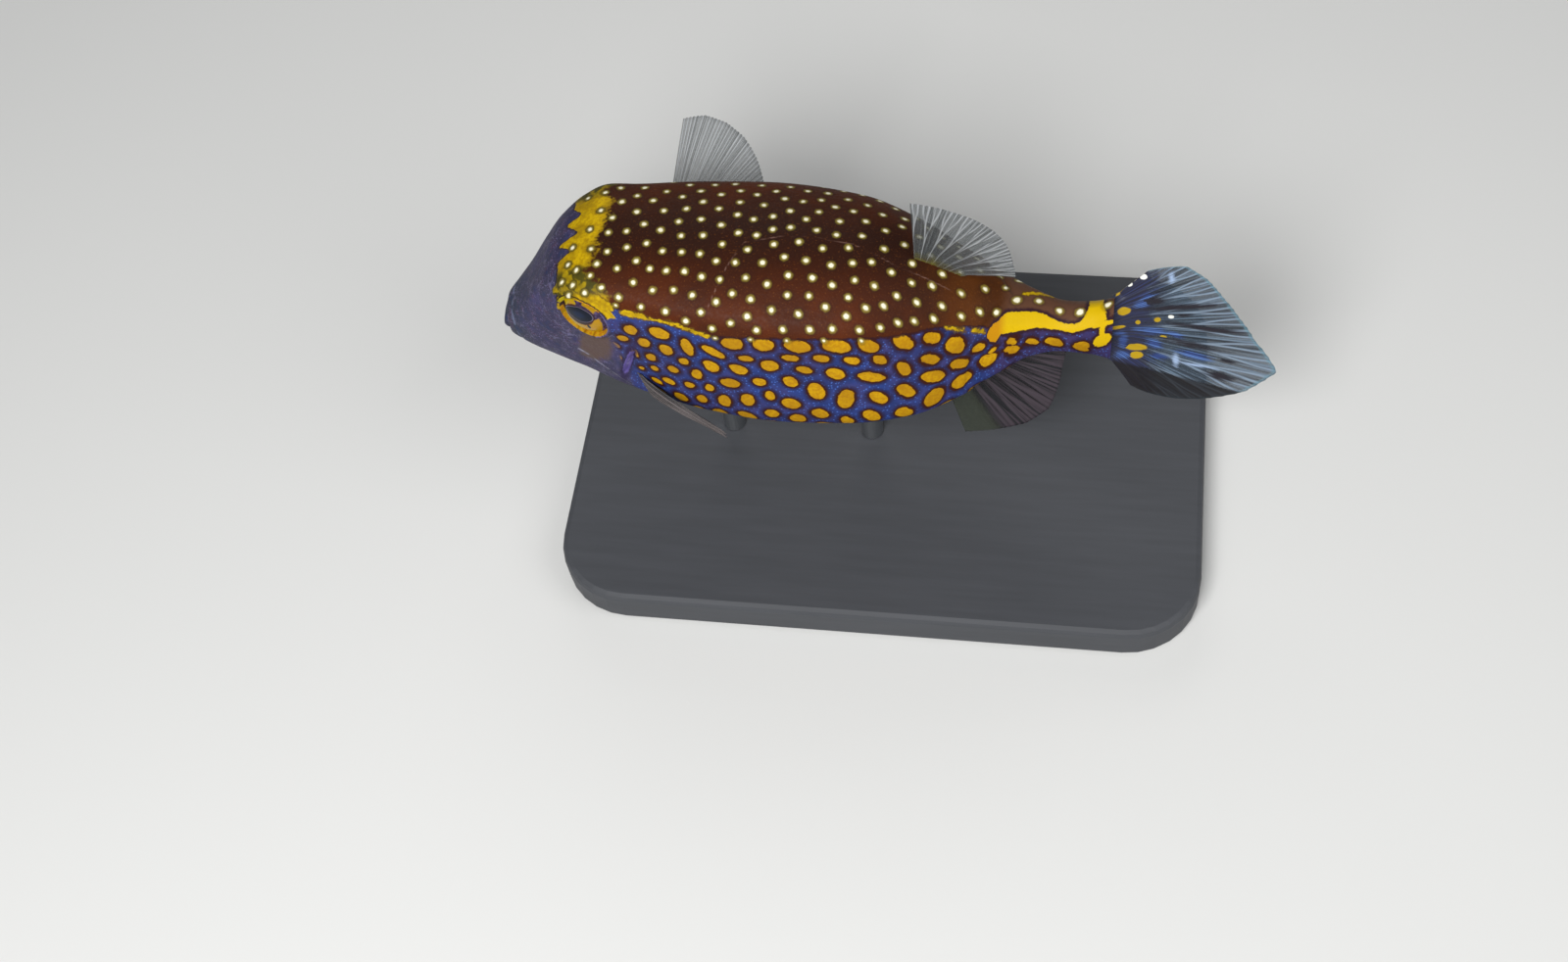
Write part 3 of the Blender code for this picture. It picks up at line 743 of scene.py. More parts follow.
def skin_material():
    """Smooth, faintly pebbled skin: brown back with white dots, blue flanks with gold spots, purple face.

    The markings' places come from the mesh, in millimetres; noise makes their edges as uneven as grown ones.
    """
    made, shader, add = new_material("spotted_fish_skin")
    place = add("TexCoord").node.outputs["Object"]
    value = {name: add("Attribute", attribute_name=name).node.outputs["Fac"] for name in markings}
    x = value["body_x"]
    way_round = value["side_girth"]
    # Each noise by its grain in millimetres.
    noise = {"clouds": 8.0, "patches": 3.4, "wobble": 1.6, "fray": 0.62, "grit": 0.26}
    for name, size in noise.items():
        detail = 3.0 if name == "fray" else 2.0
        noise[name] = add("TexNoise", Vector=place, Scale=1000 / size, Detail=detail)

    def shaken(distance, **amounts):
        """The distance made uneven by these noises, each by so many millimetres at most."""
        for name, amount in amounts.items():
            centred = add("Math", noise[name], 0.5, operation="SUBTRACT")
            distance = add("Math", centred, 2 * amount, distance, operation="MULTIPLY_ADD")
        return distance

    edge = shaken(value["below_edge"], wobble=0.35, fray=0.35)
    front = shaken(value["behind_brow_front"], wobble=0.5, fray=0.35)
    rear = shaken(value["behind_brow_rear"], patches=2.4, fray=1.8)
    face = shaken(value["behind_face"], wobble=0.9)
    bar = shaken(value["yellow_bar"], fray=0.35)
    line = shaken(value["gold_line"], fray=0.6, wobble=0.3)
    dot = shaken(past_edge(add, "white_dot_and_glint"), fray=0.22)
    spot = shaken(past_edge(add, "gold_spot"), wobble=0.34, fray=0.14)
    cheek = shaken(value["cheek"], wobble=0.3)
    flap = shaken(value["gill_flap"], fray=0.2)
    tiny = add("TexVoronoi", Vector=place, Scale=1000 / 0.62)
    clouds = fade(noise["clouds"], 0.35, 0.65)
    patches = fade(noise["patches"], 0.4, 0.62)
    fray = fade(noise["fray"], 0.35, 0.65)
    on_brow = add("Math", 1.0, fade(rear, -0.8, 0.8), operation="SUBTRACT")
    past_brow_front = fade(front, -0.1, 0.12)

    brown = layered(
        "#2C1207",
        ("#542204", fade(way_round, 1.0, 17.0), 0.9),
        ("#5A2F08", fade(x, 76.0, 90.0), 0.75),
        ("#26130C", clouds, 0.45),
        ("#7B4718", fade(noise["grit"], 0.62, 0.72), 0.5),
        ("#8C6A5E", fade(value["scratch"], 0.22, 0.05), patches, 0.5),
        ("#5A3C2C", fade(x, 93.0, 96.5)),
    )
    near_eye = times(fade(way_round, 7.0, 9.0), fade(way_round, 14.0, 12.4), fade(x, 28.0, 26.0))
    yellow = layered(
        "#A98603",
        ("#C2A006", fray),
        ("#7A5E08", patches, 0.55),
        ("#5A5A12", near_eye, 0.45),
        ("#2E3012", near_eye, fade(noise["wobble"], 0.42, 0.56), 0.85),
    )
    stray = add("TexNoise", Vector=place, Scale=1000 / 2.5, Detail=3.0).node.outputs["Color"]
    bent = add("VectorMath", stray, (0.004, 0.004, 0.004), place, operation="MULTIPLY_ADD")
    veins = add("TexVoronoi", Vector=bent, Scale=1000 / 3.6, feature="DISTANCE_TO_EDGE")
    lips = add("Math", value["behind_lips"], operation="ABSOLUTE")
    on_lips = times(fade(lips, 0.34, 0.1), fade(way_round, 13.0, 10.0))
    purple = layered(
        "#332F4A",
        ("#403C62", clouds),
        ("#39364C", patches),
        ("#2C3440", fade(x, 9.0, 2.0), 0.8),
        ("#4A3348", fade(noise["wobble"], 0.56, 0.7), 0.55),
        ("#2C3658", fade(noise["wobble"], 0.44, 0.3), 0.6),
        ("#6E6A8C", fade(veins, 0.045, 0.01), fade(noise["patches"], 0.46, 0.6), 0.5),
        ("#6A6488", fade(noise["grit"], 0.53, 0.66), fade(noise["wobble"], 0.4, 0.55), 0.8),
        ("#262238", fade(noise["fray"], 0.48, 0.3), 0.5),
        ("#7480A0", on_lips, fade(noise["wobble"], 0.4, 0.56), 0.5),
        ("#58463E", fade(cheek, 0.3, -0.2), 0.9),
        # painted highlight along the jaw's raised ridge
        ("#9A9AB0", fade(value["jaw_highlight"], 0.35, 0.05), fade(noise["wobble"], 0.42, 0.55), 0.75),
    )
    gold = layered("#B07E02", ("#C29405", fray), ("#9A6C05", clouds, 0.6))
    blue = layered(
        "#273A78",
        ("#3E3866", clouds, 0.8),
        ("#1F2A58", patches, 0.5),
        ("#3C2A4E", fade(x, 90.0, 95.0), 0.6),
        ("#4F78CC", fade(tiny, 0.34, 0.12), 0.7),
        ("#261A30", fade(spot, 1.4, 0.35), 0.88),
        ("#36140A", fade(spot, 0.56, 0.26)),
        (gold, fade(spot, 0.10, -0.06)),
    )
    side = layered(
        purple,
        (blue, fade(face, -0.6, 0.9)),
        ("#2A2142", fade(flap, 1.0, 0.1), 0.85),
        ("#5E5290", fade(flap, 0.08, -0.1)),
        # Painted highlight: a pale patchy streak along the middle of the raised gill flap.
        ("#8A80B0", fade(flap, -0.2, -0.45), fray),
    )
    eye_place = add("CombineXYZ", X=value["eye_ahead"], Y=value["eye_above"])
    eye_reach = shaken(add("VectorMath", eye_place, operation="LENGTH"), fray=0.1)
    eye_turn = add("Math", value["eye_above"], value["eye_ahead"], operation="ARCTAN2")

    def lid(near, far, *turns):
        """Where the lid lies this far out from the eye's middle, in one of these ranges of turns round it."""
        at_turn = largest(*(within(eye_turn, low, high, 0.03) for low, high in turns))
        return times(within(eye_reach, near, far, 0.05), at_turn)

    ring = layered("#A46A08", ("#B0880A", fray))
    colour = layered(
        purple,
        ("#251D2C", fade(front, -0.55, -0.1)),
        (layered(brown, (yellow, on_brow)), past_brow_front),
        (side, fade(edge, -0.1, 0.12)),
        ("#2B1012", fade(edge, -0.35, -0.05), fade(edge, 0.45, 0.15), fade(x, 25.5, 27.5), 0.8),
        ("#5A430C", fade(line, -0.35, -0.05), 0.85),
        (yellow, fade(line, -0.05, 0.2)),
        (yellow, lid(5.4, 7.3, (0.5, 2.8))),
        ("#665C80", lid(4.8, 5.1, (2.5, 3.2), (-3.2, -1.9)), 0.7),
        ("#2A1A10", lid(5.3, 5.6, (0.1, 2.8)), 0.9),
        ("#A8960A", lid(0.0, 5.3, (0.42, 1.24))),
        (ring, lid(0.0, 5.3, (1.6, 2.42))),
        (ring, lid(0.0, 4.86, (-2.9, 0.16))),
        ("#33201E", lid(0.0, 4.86, (0.16, 0.42))),
        ("#2C1620", fade(bar, -1.05, -0.3)),
        (layered("#CCA802", ("#B88005", fade(x, 95.5, 93.5))), fade(bar, -0.12, 0.1)),
        # The white dots, and the painted highlights along the back's edge that share their map.
        ("#1C130A", fade(dot, 0.62, 0.36), on_brow, past_brow_front),
        ("#1E100C", fade(dot, 1.0, 0.5), 0.3),
        ("#8A7C30", fade(dot, 0.6, 0.08), 0.8),
        ("#EDE8CF", fade(dot, 0.16, -0.18)),
    )
    rough = add("MapRange", Value=noise["fray"], From_Min=0.3, From_Max=0.7, To_Min=0.48, To_Max=0.64)
    pebbles = add("TexVoronoi", Vector=place, Scale=1000 / 0.42)
    fine = add("Bump", Height=pebbles, Strength=0.3, Distance=0.00007)
    waves = add("Bump", Height=noise["wobble"], Strength=0.25, Distance=0.00022, Normal=fine)
    raised = add("Bump", Height=fade(dot, 0.2, -0.2), Strength=0.5, Distance=0.0001, Normal=waves)
    plug(shader, Base_Color=colour, Roughness=rough, Normal=raised, Specular_IOR_Level=0.12)
    return made


skin_mesh.materials.append(skin_material())
skin = show("skin", skin_mesh)
close_ends(skin)
dress(skin, "skin_back", "head", "carapace", "tail_stalk")


def eye_material():
    """A wet eye under a clear glossy surface: navy pupil with a painted reflection in its middle, dark iris
    and a broken orange-yellow ring.
    """
    made, shader, add = new_material("wet_eye")
    place = add("UVMap", uv_map="across")
    axes = add("SeparateXYZ", place).node.outputs
    noise = add("TexNoise", Vector=place, Scale=1.5, Detail=3.0)
    shake = add("Math", noise, 0.5, operation="SUBTRACT")

    def oval(middle, radii):
        """How far out a point lies from an oval's middle, in radii."""
        off = add("VectorMath", place, (*middle, 0.0), operation="SUBTRACT")
        off = add("VectorMath", off, (*radii, 1.0), operation="DIVIDE")
        off = add("VectorMath", off, operation="LENGTH")
        return add("Math", shake, 0.12, off, operation="MULTIPLY_ADD")

    # The pupil is an egg whose thin end points forward.
    forward = add("Math", axes["X"], 0.55, operation="SUBTRACT")
    ahead = add("Math", forward, 0.0, operation="MAXIMUM")
    taper = add("Math", ahead, 0.17, 1.0, operation="MULTIPLY_ADD")
    up = add("Math", axes["Y"], 1.15, operation="SUBTRACT")
    across = add("Math", forward, 2.75, operation="DIVIDE")
    over = add("Math", times(up, taper), 1.6, operation="DIVIDE")
    pupil = add("CombineXYZ", X=across, Y=over)
    pupil = add("VectorMath", pupil, operation="LENGTH")
    ring = oval((0.6, 0.8), (2.95, 2.3))
    outer = oval((0.75, -0.5), (4.4, 4.9))
    notch = oval((-1.1, -1.6), (0.34, 0.62))
    turn = add("Math", axes["Y"], axes["X"], operation="ARCTAN2")
    turn = add("Math", shake, 0.35, turn, operation="MULTIPLY_ADD")
    in_front = largest(fade(turn, 1.28, 1.2), fade(turn, 2.8, 2.92))
    gold = layered("#A87E06", ("#A48C0A", fade(axes["X"], -1.0, 2.0)), ("#AC7E08", fade(noise, 0.5, 0.65)))
    colour = layered(
        "#332640",
        ("#56466A", fade(noise, 0.45, 0.7)),
        ("#5C2E10", in_front, fade(ring, 1.04, 0.98)),
        ("#26160F", fade(ring, 0.98, 0.86)),
        (gold, in_front, fade(ring, 0.97, 1.03), fade(outer, 1.02, 0.96)),
        ("#A07A0E", fade(turn, 1.56, 1.64), fade(turn, 2.5, 2.35), fade(ring, 1.12, 1.2)),
        ("#20180E", fade(notch, 1.1, 0.85)),
        ("#33201E", fade(turn, 0.1, 0.16), fade(turn, 0.5, 0.42)),
        ("#2A120E", fade(pupil, 1.2, 1.12)),
        ("#77708A", fade(pupil, 1.09, 1.05), 0.6),
        ("#091120", fade(pupil, 1.03, 0.98)),
        # Painted reflection: a lighter blue patch in the pupil's middle.
        ("#142442", fade(pupil, 0.7, 0.2), 0.6),
    )
    plug(shader, Base_Color=colour, Roughness=0.18, Specular_IOR_Level=0.18)
    return made


eye_look = eye_material()
for side, node in ((-1, "left_eye"), (1, "right_eye")):
    axis, forward, upward = eye_axes(side)
    middle = np.array(EYE) * (1, side, 1) - axis * EYE_DEPTH
    bpy.ops.mesh.primitive_uv_sphere_add(segments=72, ring_count=44, radius=1.0)
    eye = bpy.context.object
    eye.name = node + "_wet"
    bpy.ops.object.shade_smooth()
    ball = np.array([vertex.co for vertex in eye.data.vertices]) * EYE_RADII
    placed = middle + ball[:, :1] * upward + ball[:, 1:2] * np.cross(axis, upward) + ball[:, 2:] * axis
    eye.data.vertices.foreach_set("co", to_part(placed).ravel())
    corner = [loop.vertex_index for loop in eye.data.loops]
    from_middle = (placed - middle)[corner]
    corner_map(eye.data, "across", np.stack([from_middle @ forward, from_middle @ upward], -1))
    eye.data.materials.append(eye_look)
    eye.select_set(False)
    dress(eye, "eye", node)


def between(a, b, u):
    """The direction a share u of the way from a to b."""
    a = unit(a)
    b = unit(b)
    angle = math.acos(float(np.clip(a @ b, -1, 1)))
    return (math.sin((1 - u) * angle) * a + math.sin(u * angle) * b) / math.sin(angle)


def side_point(x, z, side):
    """The point at height z on the flank, and the way it faces."""
    flanks = [half_section(x + step, (8, 24, 5))[8:33] for step in (-0.5, 0.0, 0.5)]
    before, y, after = (np.interp(-z, -flank[:, 1], flank[:, 0]) for flank in flanks)
    return np.array([x, side * y, z]), unit((before - after, side, 0.0))


def dorsal_root(u):
    x = 78.5 + 7.5 * u
    return np.array([x, 0.0, through_stations(x, 1) - 0.4]), np.array([0.3, 0.0, 0.95])


def anal_root(u):
    x = 81.0 + 11.5 * u
    return np.array([x, 0.0, through_stations(x, 6) + 0.4]), np.array([0.0, 0.0, -1.0])


def pectoral_root(side):
    def root(u):
        x, z = ((1 - u) * top + u * foot for top, foot in zip(PECTORAL_TOP, PECTORAL_FOOT))
        point, facing = side_point(x, z, side)
        return point - facing * 0.3, facing

    return root


TAIL_MIDDLE = 0.5 * (through_stations(STALK_END, 1) + through_stations(STALK_END, 6))
IN_TAIL_UP = np.array([0.0, math.sin(TAIL_ROLL), math.cos(TAIL_ROLL)])


def tail_root(u):
    height = TAIL_ROOT_HEIGHT * (0.5 - u)
    roll = TAIL_ROLL * float(smooth(abs(0.5 - u), 0.0, 0.5))
    y = swing(STALK_END) + height * math.sin(roll)
    return np.array([STALK_END - 0.5, y, TAIL_MIDDLE + height * math.cos(roll)]), np.array([1.0, 0.0, 0.0])


def in_tail_plane(degrees):
    """The direction in the tail fin's plane that rises so steeply towards the rear."""
    rise = math.radians(degrees)
    return (math.cos(rise), math.sin(rise) * math.sin(TAIL_ROLL), math.sin(rise) * math.cos(TAIL_ROLL))


# A fin's columns of points for each ray's room, and its rows from root to tip.
PER_RAY = 12
FIN_ROWS = 56


def build_fin(name, root, first, last, lengths, rays, thick_root, lobe, wave):
    """A fin as one closed sheet: thin skin between rays that stand up on both its faces and fork twice."""
    columns = PER_RAY * (rays - 1) + 1
    middle_line = np.zeros((columns, FIN_ROWS + 1, 3))
    v = np.arange(FIN_ROWS + 1)[:, None] / FIN_ROWS
    for i in range(columns):
        u = i / (columns - 1)
        start, facing = root(u)
        ray = between(first, last, u)
        length = float(np.interp(u, np.linspace(0, 1, len(lengths)), lengths))
        from_ray = abs((i / PER_RAY * 4 + 0.5) % 1.0 - 0.5) * 2
        length *= 0.985 - 0.012 * from_ray**2
        next_ray = between(first, last, min(u + 0.02, 1.0))
        sideways = unit(np.cross(next_ray, between(first, last, max(u - 0.02, 0.0))))
        middle = start + (lobe * facing if lobe else 0.5 * length * ray)
        line = (1 - v) ** 2 * start + 2 * v * (1 - v) * middle + v * v * (start + length * ray)
        middle_line[i] = line + sideways * wave * math.sin(2.5 * math.pi * u) * v * v
    normal = np.cross(np.gradient(middle_line, axis=1), np.gradient(middle_line, axis=0))
    normal /= np.linalg.norm(normal, axis=2, keepdims=True)
    u = np.arange(columns)[:, None] / PER_RAY
    v = v.T
    from_ray = np.abs((u + 0.5) % 1.0 - 0.5)
    from_branch = np.abs(np.abs(from_ray - 0.25 * smooth(v, 0.25, 0.9)) - 0.125 * smooth(v, 0.55, 1.0))
    half = 0.09 + 0.11 * hump(from_branch, 0.07) * (1 - 0.7 * v)
    half = half + (0.45 * thick_root - 0.2) * (1 - smooth(v, 0.0, 0.2))
    thick = (half * (1 - 0.75 * smooth(v, 0.9, 1.0)))[..., None] * normal
    shell = np.concatenate([middle_line + thick, (middle_line - thick)[:, ::-1]], axis=1)
    mesh, faces = tube_mesh(name, shell)
    both_v = np.concatenate([v, v[:, ::-1]], axis=1)
    maps = (np.broadcast_to(axis, shell.shape[:2]).ravel()[faces] for axis in (u, both_v))
    corner_map(mesh, "rays", np.stack(list(maps), -1))
    return mesh, faces, shell


def ray_masks(add, width, fineness):
    """Where a fin's forking rays run, streaks along them, and how far along and across a point lies.

    The width is a share of the room that a ray has.
    """
    rays = add("UVMap", uv_map="rays")
    across_it, along_it, _ = add("SeparateXYZ", rays).node.outputs
    phase = add("Math", across_it, 0.5, operation="ADD")
    phase = add("Math", phase, operation="FRACT")
    phase = add("Math", phase, 0.5, operation="SUBTRACT")
    from_branch = add("Math", phase, operation="ABSOLUTE")
    for fork, low, high in ((0.25, 0.25, 0.9), (0.125, 0.55, 1.0)):
        spread = times(fade(along_it, low, high), fork)
        from_branch = add("Math", from_branch, spread, operation="SUBTRACT")
        from_branch = add("Math", from_branch, operation="ABSOLUTE")
    stretched = add("VectorMath", rays, (fineness, 0.3, 1.0), operation="MULTIPLY")
    streaks = add("TexNoise", Vector=stretched, Scale=1.7, Detail=2.5, Roughness=0.55)
    return fade(from_branch, width, 0.2 * width), streaks, along_it, across_it


def film_alpha(add, clear, *layers):
    """How solid a fin's film is: the thicker the layers over it, each with its share, the less clear."""
    thick = largest(*(times(layer, share) for layer, share in layers))
    return add("MapRange", Value=thick, To_Min=1 - clear, To_Max=1.0)


def finish_fin(add, shader, streaks, colour, alpha, rough):
    bump = add("Bump", Height=streaks, Strength=0.3, Distance=0.0001)
    plug(shader, Base_Color=colour, Alpha=alpha, Normal=bump)
    plug(shader, Roughness=rough, Specular_IOR_Level=0.3)


def fin_material(name, ray_hue, film_hue, clear, base_hue, reach, bold, specks, width, fineness, bare):
    """Clear grey film crossed by paler forking rays, thicker and coloured near the body, with dark specks.

    The film in front of the first so many rays is bare: clear and olive, without rays.
    """
    made, shader, add = new_material(name)
    rays, streaks, along_it, across_it = ray_masks(add, width, fineness)
    rayed = fade(across_it, bare - 0.5, bare + 0.3)
    rays = times(rays, rayed, fade(streaks, 0.34, 0.5))
    place = add("TexCoord").node.outputs["Object"]
    blotch = add("TexNoise", Vector=place, Scale=1000 / 2.2, Detail=3.0)
    speckled = add("TexVoronoi", Vector=place, Scale=1000 / 1.5)
    streaked = fade(streaks, 0.50, 0.62)
    shade = fade(streaks, 0.50, 0.40)
    ragged = add("Math", blotch, 0.3, along_it, operation="MULTIPLY_ADD")
    near_body = fade(ragged, reach + 0.26, reach + 0.08)
    colour = layered(
        film_hue,
        (ray_hue, streaked, bold),
        ("#1C1E22", shade, bold),
        (ray_hue, rays),
        ("#2E3424", fade(rayed, 1.0, 0.0)),
        (base_hue, near_body),
        ("#221C1E", fade(speckled, 0.3, 0.16), fade(along_it, 0.3, 0.16), specks),
    )
    alpha = largest(film_alpha(add, clear, (rays, 0.6), (streaked, 0.3), (shade, 0.35)), near_body)
    alpha = times(alpha, add("MapRange", Value=rayed, To_Min=0.5, To_Max=1.0))
    finish_fin(add, shader, streaks, colour, alpha, 0.45)
    return made


# The tail fin's marks: how far back and up in its plane, long and short radius, turn in degrees, and colour.
WHITE, OLIVE, BLUE, DARK, PALE = range(5)
TAIL_MARKS = (
    (2.1, 9.5, 0.55, 0.5, 0, WHITE), (4.4, 11.2, 0.6, 0.5, 0, WHITE), (9.8, 3.2, 0.5, 0.35, 0, WHITE),
    (1.5, 4.1, 1.15, 0.8, 0, OLIVE), (0.0, 7.5, 0.6, 0.5, 0, OLIVE), (7.5, 2.4, 0.6, 0.6, 0, OLIVE),
    (4.1, 1.6, 0.45, 0.5, 0, OLIVE), (8.8, -1.7, 0.6, 0.35, -10, OLIVE), (4.2, -4.5, 1.9, 0.8, 0, OLIVE),
    (4.4, -6.2, 1.25, 0.75, 0, OLIVE), (0.2, 0.6, 1.6, 0.45, 5, OLIVE), (4.5, 5.6, 1.3, 0.7, 20, BLUE),
    (5.4, 7.3, 1.5, 0.45, 30, BLUE), (0.9, -0.9, 1.2, 0.5, 0, BLUE), (6.8, -0.4, 3.0, 0.9, -6, BLUE),
    (10.8, -1.1, 2.0, 0.6, -20, BLUE), (1.9, -6.2, 1.4, 0.9, 0, BLUE), (1.8, -3.0, 0.8, 1.7, 0, BLUE),
    (8.3, -6.4, 2.0, 0.8, -8, BLUE), (14.5, -5.7, 3.3, 0.9, -14, BLUE), (7.3, -3.5, 1.6, 1.0, -25, BLUE),
    (11.4, -7.0, 0.7, 1.7, 5, PALE), (15.5, -8.0, 3.2, 0.35, -10, PALE), (9.2, 11.6, 0.7, 1.1, 0, PALE),
    (6.7, 6.5, 1.9, 0.9, 5, DARK), (12.0, 3.7, 1.3, 0.35, 5, DARK), (11.5, 5.5, 7.5, 0.6, 8, DARK),
    (15.5, 0.9, 7.0, 0.6, -8, DARK), (13.5, -3.2, 6.5, 0.8, -12, DARK),
    (20.5, -6.8, 1.6, 0.45, -12, DARK), (19.5, -10.3, 3.2, 1.0, -14, DARK),
)


def tail_material():
    """Grey-blue film and rays, navy near the body, with white, yellow, bright blue and dark marks, and
    painted shade over the lower lobe.
    """
    made, shader, add = new_material("marked_tail_fin")
    rays, streaks, along_it, _ = ray_masks(add, 0.055, 8.0)
    place = add("TexCoord").node.outputs["Object"]
    blotch = add("TexNoise", Vector=place, Scale=1000 / 1.8, Detail=3.0)
    back, up = (add("Attribute", attribute_name=name).node.outputs["Fac"] for name in ("back", "up"))
    kind = add("SeparateXYZ", add("UVMap", uv_map="mark_kind"))
    reach = add("VectorMath", add("UVMap", uv_map="mark"), operation="LENGTH")
    reach = add("Math", blotch, 0.7, reach, operation="MULTIPLY_ADD")
    ragged = add("Math", blotch, 5.0, back, operation="MULTIPLY_ADD")
    near_body = fade(ragged, 13.0, 7.0)
    # Painted shade: the lower lobe is coloured near black and made nearly solid, standing for the shade it
    # lies in.
    lower = fade(add("Math", back, 0.27, up, operation="MULTIPLY_ADD"), -6.9, -7.7)
    streaked = fade(streaks, 0.48, 0.66)
    shade = fade(streaks, 0.50, 0.36)
    colour = layered(
        "#3E4C5A",
        ("#74889C", streaked, 0.7),
        ("#1A2028", shade, 0.85),
        ("#8C9EB2", rays, 0.7),
        ("#1E1B2C", near_body, 0.92),
        ("#2C4088", near_body, streaked, 0.45),
        ("#5E8898", fade(along_it, 0.965, 0.985), 0.6),
        # painted shade over the lower lobe
        ("#141012", lower, 0.92),
    )
    edge = fade(reach, 1.5, 1.25)
    soft = fade(add("Math", streaks, -2.4, reach, operation="MULTIPLY_ADD"), 0.55, -0.5)
    bright = layered("#25386E", ("#5A7CB8", fade(streaks, 0.5, 0.62)))
    alpha = largest(film_alpha(add, 0.48, (rays, 0.7), (streaked, 0.5), (shade, 0.6)), near_body)
    for index, shape, code in (
        (DARK, soft, "#1D1922"),
        (PALE, soft, "#92A6C4"),
        (BLUE, soft, bright),
        (OLIVE, edge, "#AC8C08"),
        (WHITE, edge, "#E8E8E0"),
    ):
        amount = times(add("Math", kind, float(index), 0.3, operation="COMPARE"), shape)
        colour = layered(colour, (code, amount))
        alpha = largest(alpha, amount)
    finish_fin(add, shader, streaks, colour, largest(alpha, times(lower, 0.92)), 0.42)
    return made


# Each film's measures, in the order in which fin_material takes them.
clear_fin, side_fin, dark_fin = (
    fin_material(*row)
    for row in (
        ("clear_rayed_fin", "#A2A5A8", "#52585A", 0.65, "#645C14", 0.05, 0.25, 0.0, 0.08, 8.0, -1.0),
        ("grey_rayed_fin", "#7C7474", "#352E2C", 0.25, "#544A46", 0.12, 1.0, 0.9, 0.1, 0.4, -1.0),
        ("dark_rayed_fin", "#3E363D", "#0E0B10", 0.15, "#241D1E", 0.08, 0.6, 0.0, 0.17, 5.0, 1.6),
    )
)
# Each fin's look and slot, and its measures in the order in which build_fin takes them.
FINS = {
    "dorsal_fin": (
        clear_fin, "fin", dorsal_root, (-0.02, 0.0, 1.0), (1.0, 0.0, 0.04),
        (15.2, 15.6, 15.3, 14.4, 13.2, 11.6, 10.4), 9, 1.3, 0.0, 0.4,
    ),
    "anal_fin": (
        dark_fin, "fin", anal_root, (0.46, -0.55, -1.0), (1.0, 0.0, 0.02),
        (17.6, 19.0, 20.2, 19.8, 17.4, 15.0, 13.4), 9, 1.3, 0.0, 0.4,
    ),
    "left_pectoral_fin": (
        side_fin, "fin", pectoral_root(-1), (0.82, -0.33, -0.47), (0.84, -0.36, -0.42),
        (18.6, 19.9, 18.2, 19.2, 17.0, 14.6, 12.2, 10.4), 7, 1.3, 1.6, 0.0,
    ),
    "right_pectoral_fin": (
        clear_fin, "fin", pectoral_root(1), (0.09, 0.82, 0.56), (0.80, 0.50, 0.30),
        (25.0, 27.0, 27.5, 27.0, 25.5, 23.5, 21.5), 10, 1.3, 2.6, 0.0,
    ),
    "caudal_fin": (
        tail_material(), "tail_fin", tail_root, in_tail_plane(46), in_tail_plane(-54),
        (8.6, 15.6, 18.4, 20.4, 22.9, 26.2, 31.8, 27.9, 21.3, 14.4, 7.8), 10, 2.4, 0.0, 0.5,
    ),
}
for node, (look, slot, *shape) in FINS.items():
    mesh, faces, shell = build_fin(node + "_rayed", *shape)
    if node == "caudal_fin":
        back = shell[..., 0] - STALK_END - 0.3
        up = (shell - (0.0, swing(STALK_END), TAIL_MIDDLE)) @ IN_TAIL_UP
        marks = [(*mark[:4], math.radians(mark[4])) for mark in TAIL_MARKS]
        place, row, chosen = nearest_spots(back, up, faces, marks, 12)
        corner_map(mesh, "mark", place / row[:, 2:4])
        corner_map(mesh, "mark_kind", [(TAIL_MARKS[index][5], 0) for index in chosen])
        point_value(mesh, "back", back)
        point_value(mesh, "up", up)
    mesh.materials.append(look)
    fin = show(node + "_rayed", mesh)
    close_ends(fin)
    dress(fin, slot, node)


def grained(add, stretch, detail):
    """Noise that is so many times finer along each axis than a metre."""
    place = add("TexCoord").node.outputs["Object"]
    stretched = add("VectorMath", place, stretch, operation="MULTIPLY")
    return add("TexNoise", Vector=stretched, Scale=1.0, Detail=detail)


def painted_wood():
    """Flat dark grey paint over wood: a faint grain and brush marks show through it."""
    made, shader, add = new_material("painted_wood")
    grain = grained(add, (60.0, 700.0, 700.0), 5.0)
    bump = add("Bump", Height=grain, Strength=0.25, Distance=0.0001)
    plug(shader, Base_Color=layered("#3A3C40", ("#46484D", grain)), Normal=bump, Roughness=0.62)
    return made


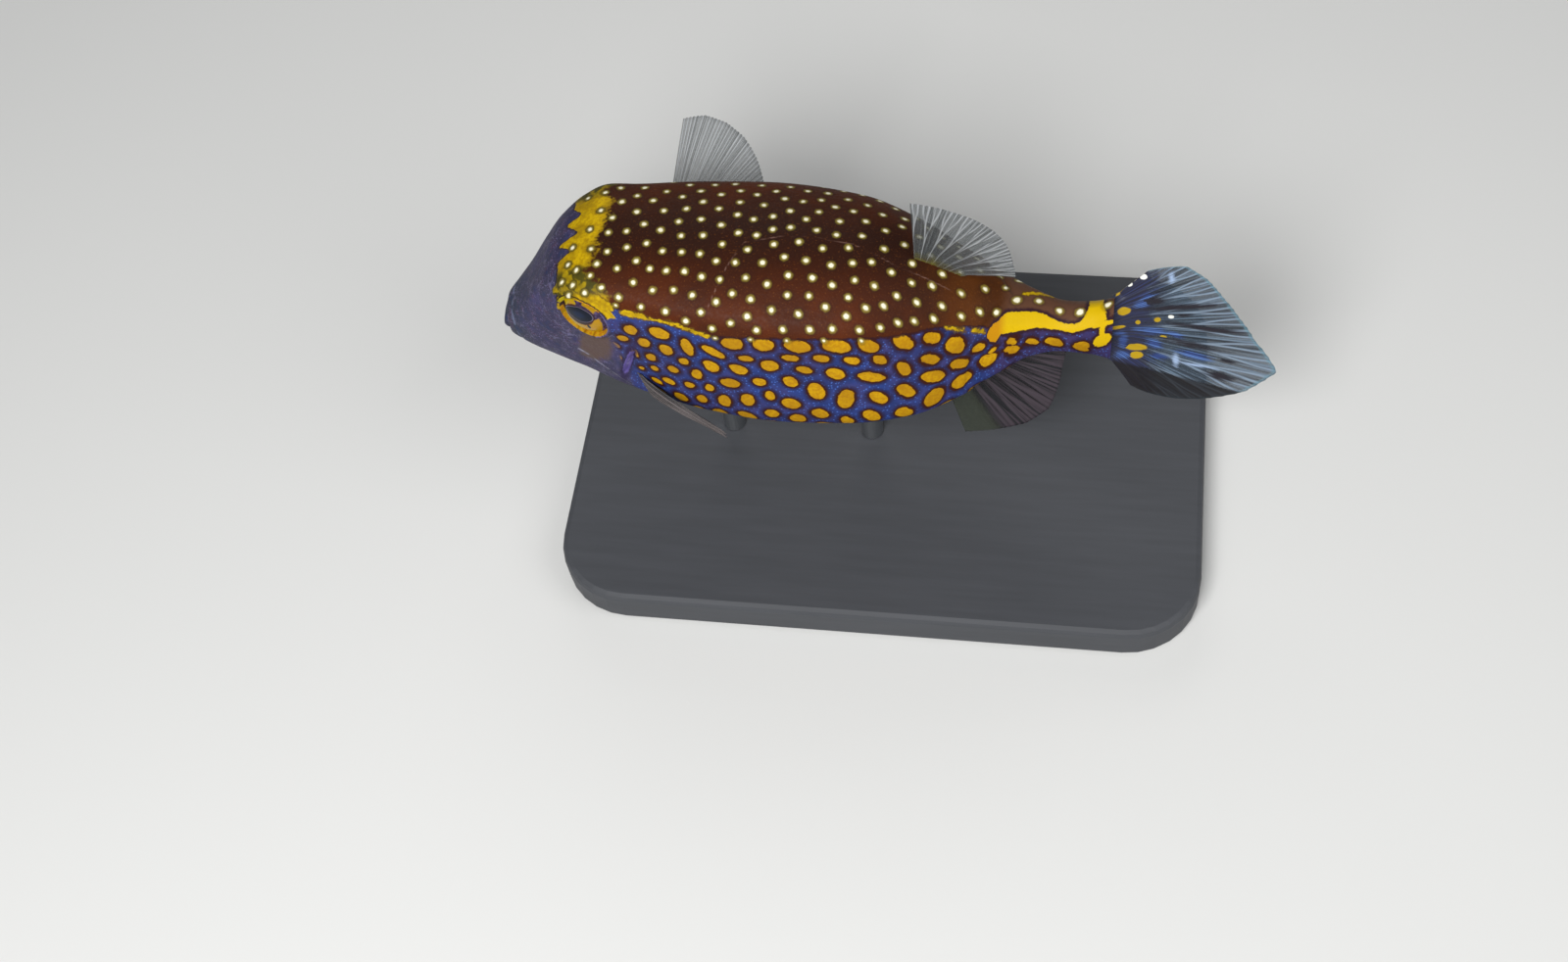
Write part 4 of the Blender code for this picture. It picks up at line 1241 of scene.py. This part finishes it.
def brushed_rod():
    """Steel rod with fine marks round it."""
    made, shader, add = new_material("brushed_steel_rod")
    marks = grained(add, (400.0, 400.0, 9000.0), 3.0)
    rough = add("MapRange", Value=marks, To_Min=0.25, To_Max=0.42)
    plug(shader, Base_Color=linear("#B9BCBE"), Metallic=1.0, Roughness=rough)
    return made


wood = painted_wood()
steel = brushed_rod()
for node, look in (("stand_base", wood), ("stand_rod_front", steel), ("stand_rod_rear", steel)):
    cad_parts[node].data.materials.clear()
    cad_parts[node].data.materials.append(look)

bpy.ops.mesh.primitive_plane_add(size=6.0, location=(0, 0, 0))
floor = bpy.context.object
floor.name = "studio_floor"
floor_look, floor_shader, _ = new_material("pale_studio_floor")
plug(floor_shader, Base_Color=linear("#D6D6D4"), Roughness=0.8)
floor.data.materials.append(floor_look)

camera_data = bpy.data.cameras.new("camera")
camera_data.lens = LENS
camera_data.sensor_width = 36.0
camera_data.clip_start = 0.01
camera = show("camera", camera_data)
turn, rise, roll = (math.radians(a) for a in (CAMERA_TURN, CAMERA_RISE, CAMERA_ROLL))
behind = Vector((math.sin(turn) * math.cos(rise), -math.cos(turn) * math.cos(rise), math.sin(rise)))
right = Vector((math.cos(turn), math.sin(turn), 0.0))
up = behind.cross(right)
rolled_right = math.cos(roll) * right + math.sin(roll) * up
rolled_up = -math.sin(roll) * right + math.cos(roll) * up
pose = Matrix((rolled_right, rolled_up, behind)).transposed().to_4x4()
pose.translation = to_part(CAMERA_AT)
camera.matrix_world = pose
bpy.context.scene.camera = camera

world = bpy.data.worlds.new("soft_room")
world.use_nodes = True
plug(world.node_tree.nodes["Background"], Color=(0.92, 0.96, 1.0, 1.0), Strength=0.11)
bpy.context.scene.world = world
for name, place, size, power in (
    ("key_light", (-0.10, -0.46, 0.52), 0.30, 4.9),
    ("fill_light", (0.45, -0.20, 0.50), 0.45, 1.5),
    ("back_light", (-0.10, 0.50, 0.45), 0.40, 0.8),
):
    lamp_data = bpy.data.lights.new(name, "AREA")
    lamp_data.energy = power
    lamp_data.size = size
    lamp = show(name, lamp_data)
    lamp.location = place
    lamp.rotation_euler = (Vector((0, 0, 0.04)) - Vector(place)).to_track_quat("-Z", "Y").to_euler()
bpy.context.scene.view_settings.view_transform = "Standard"
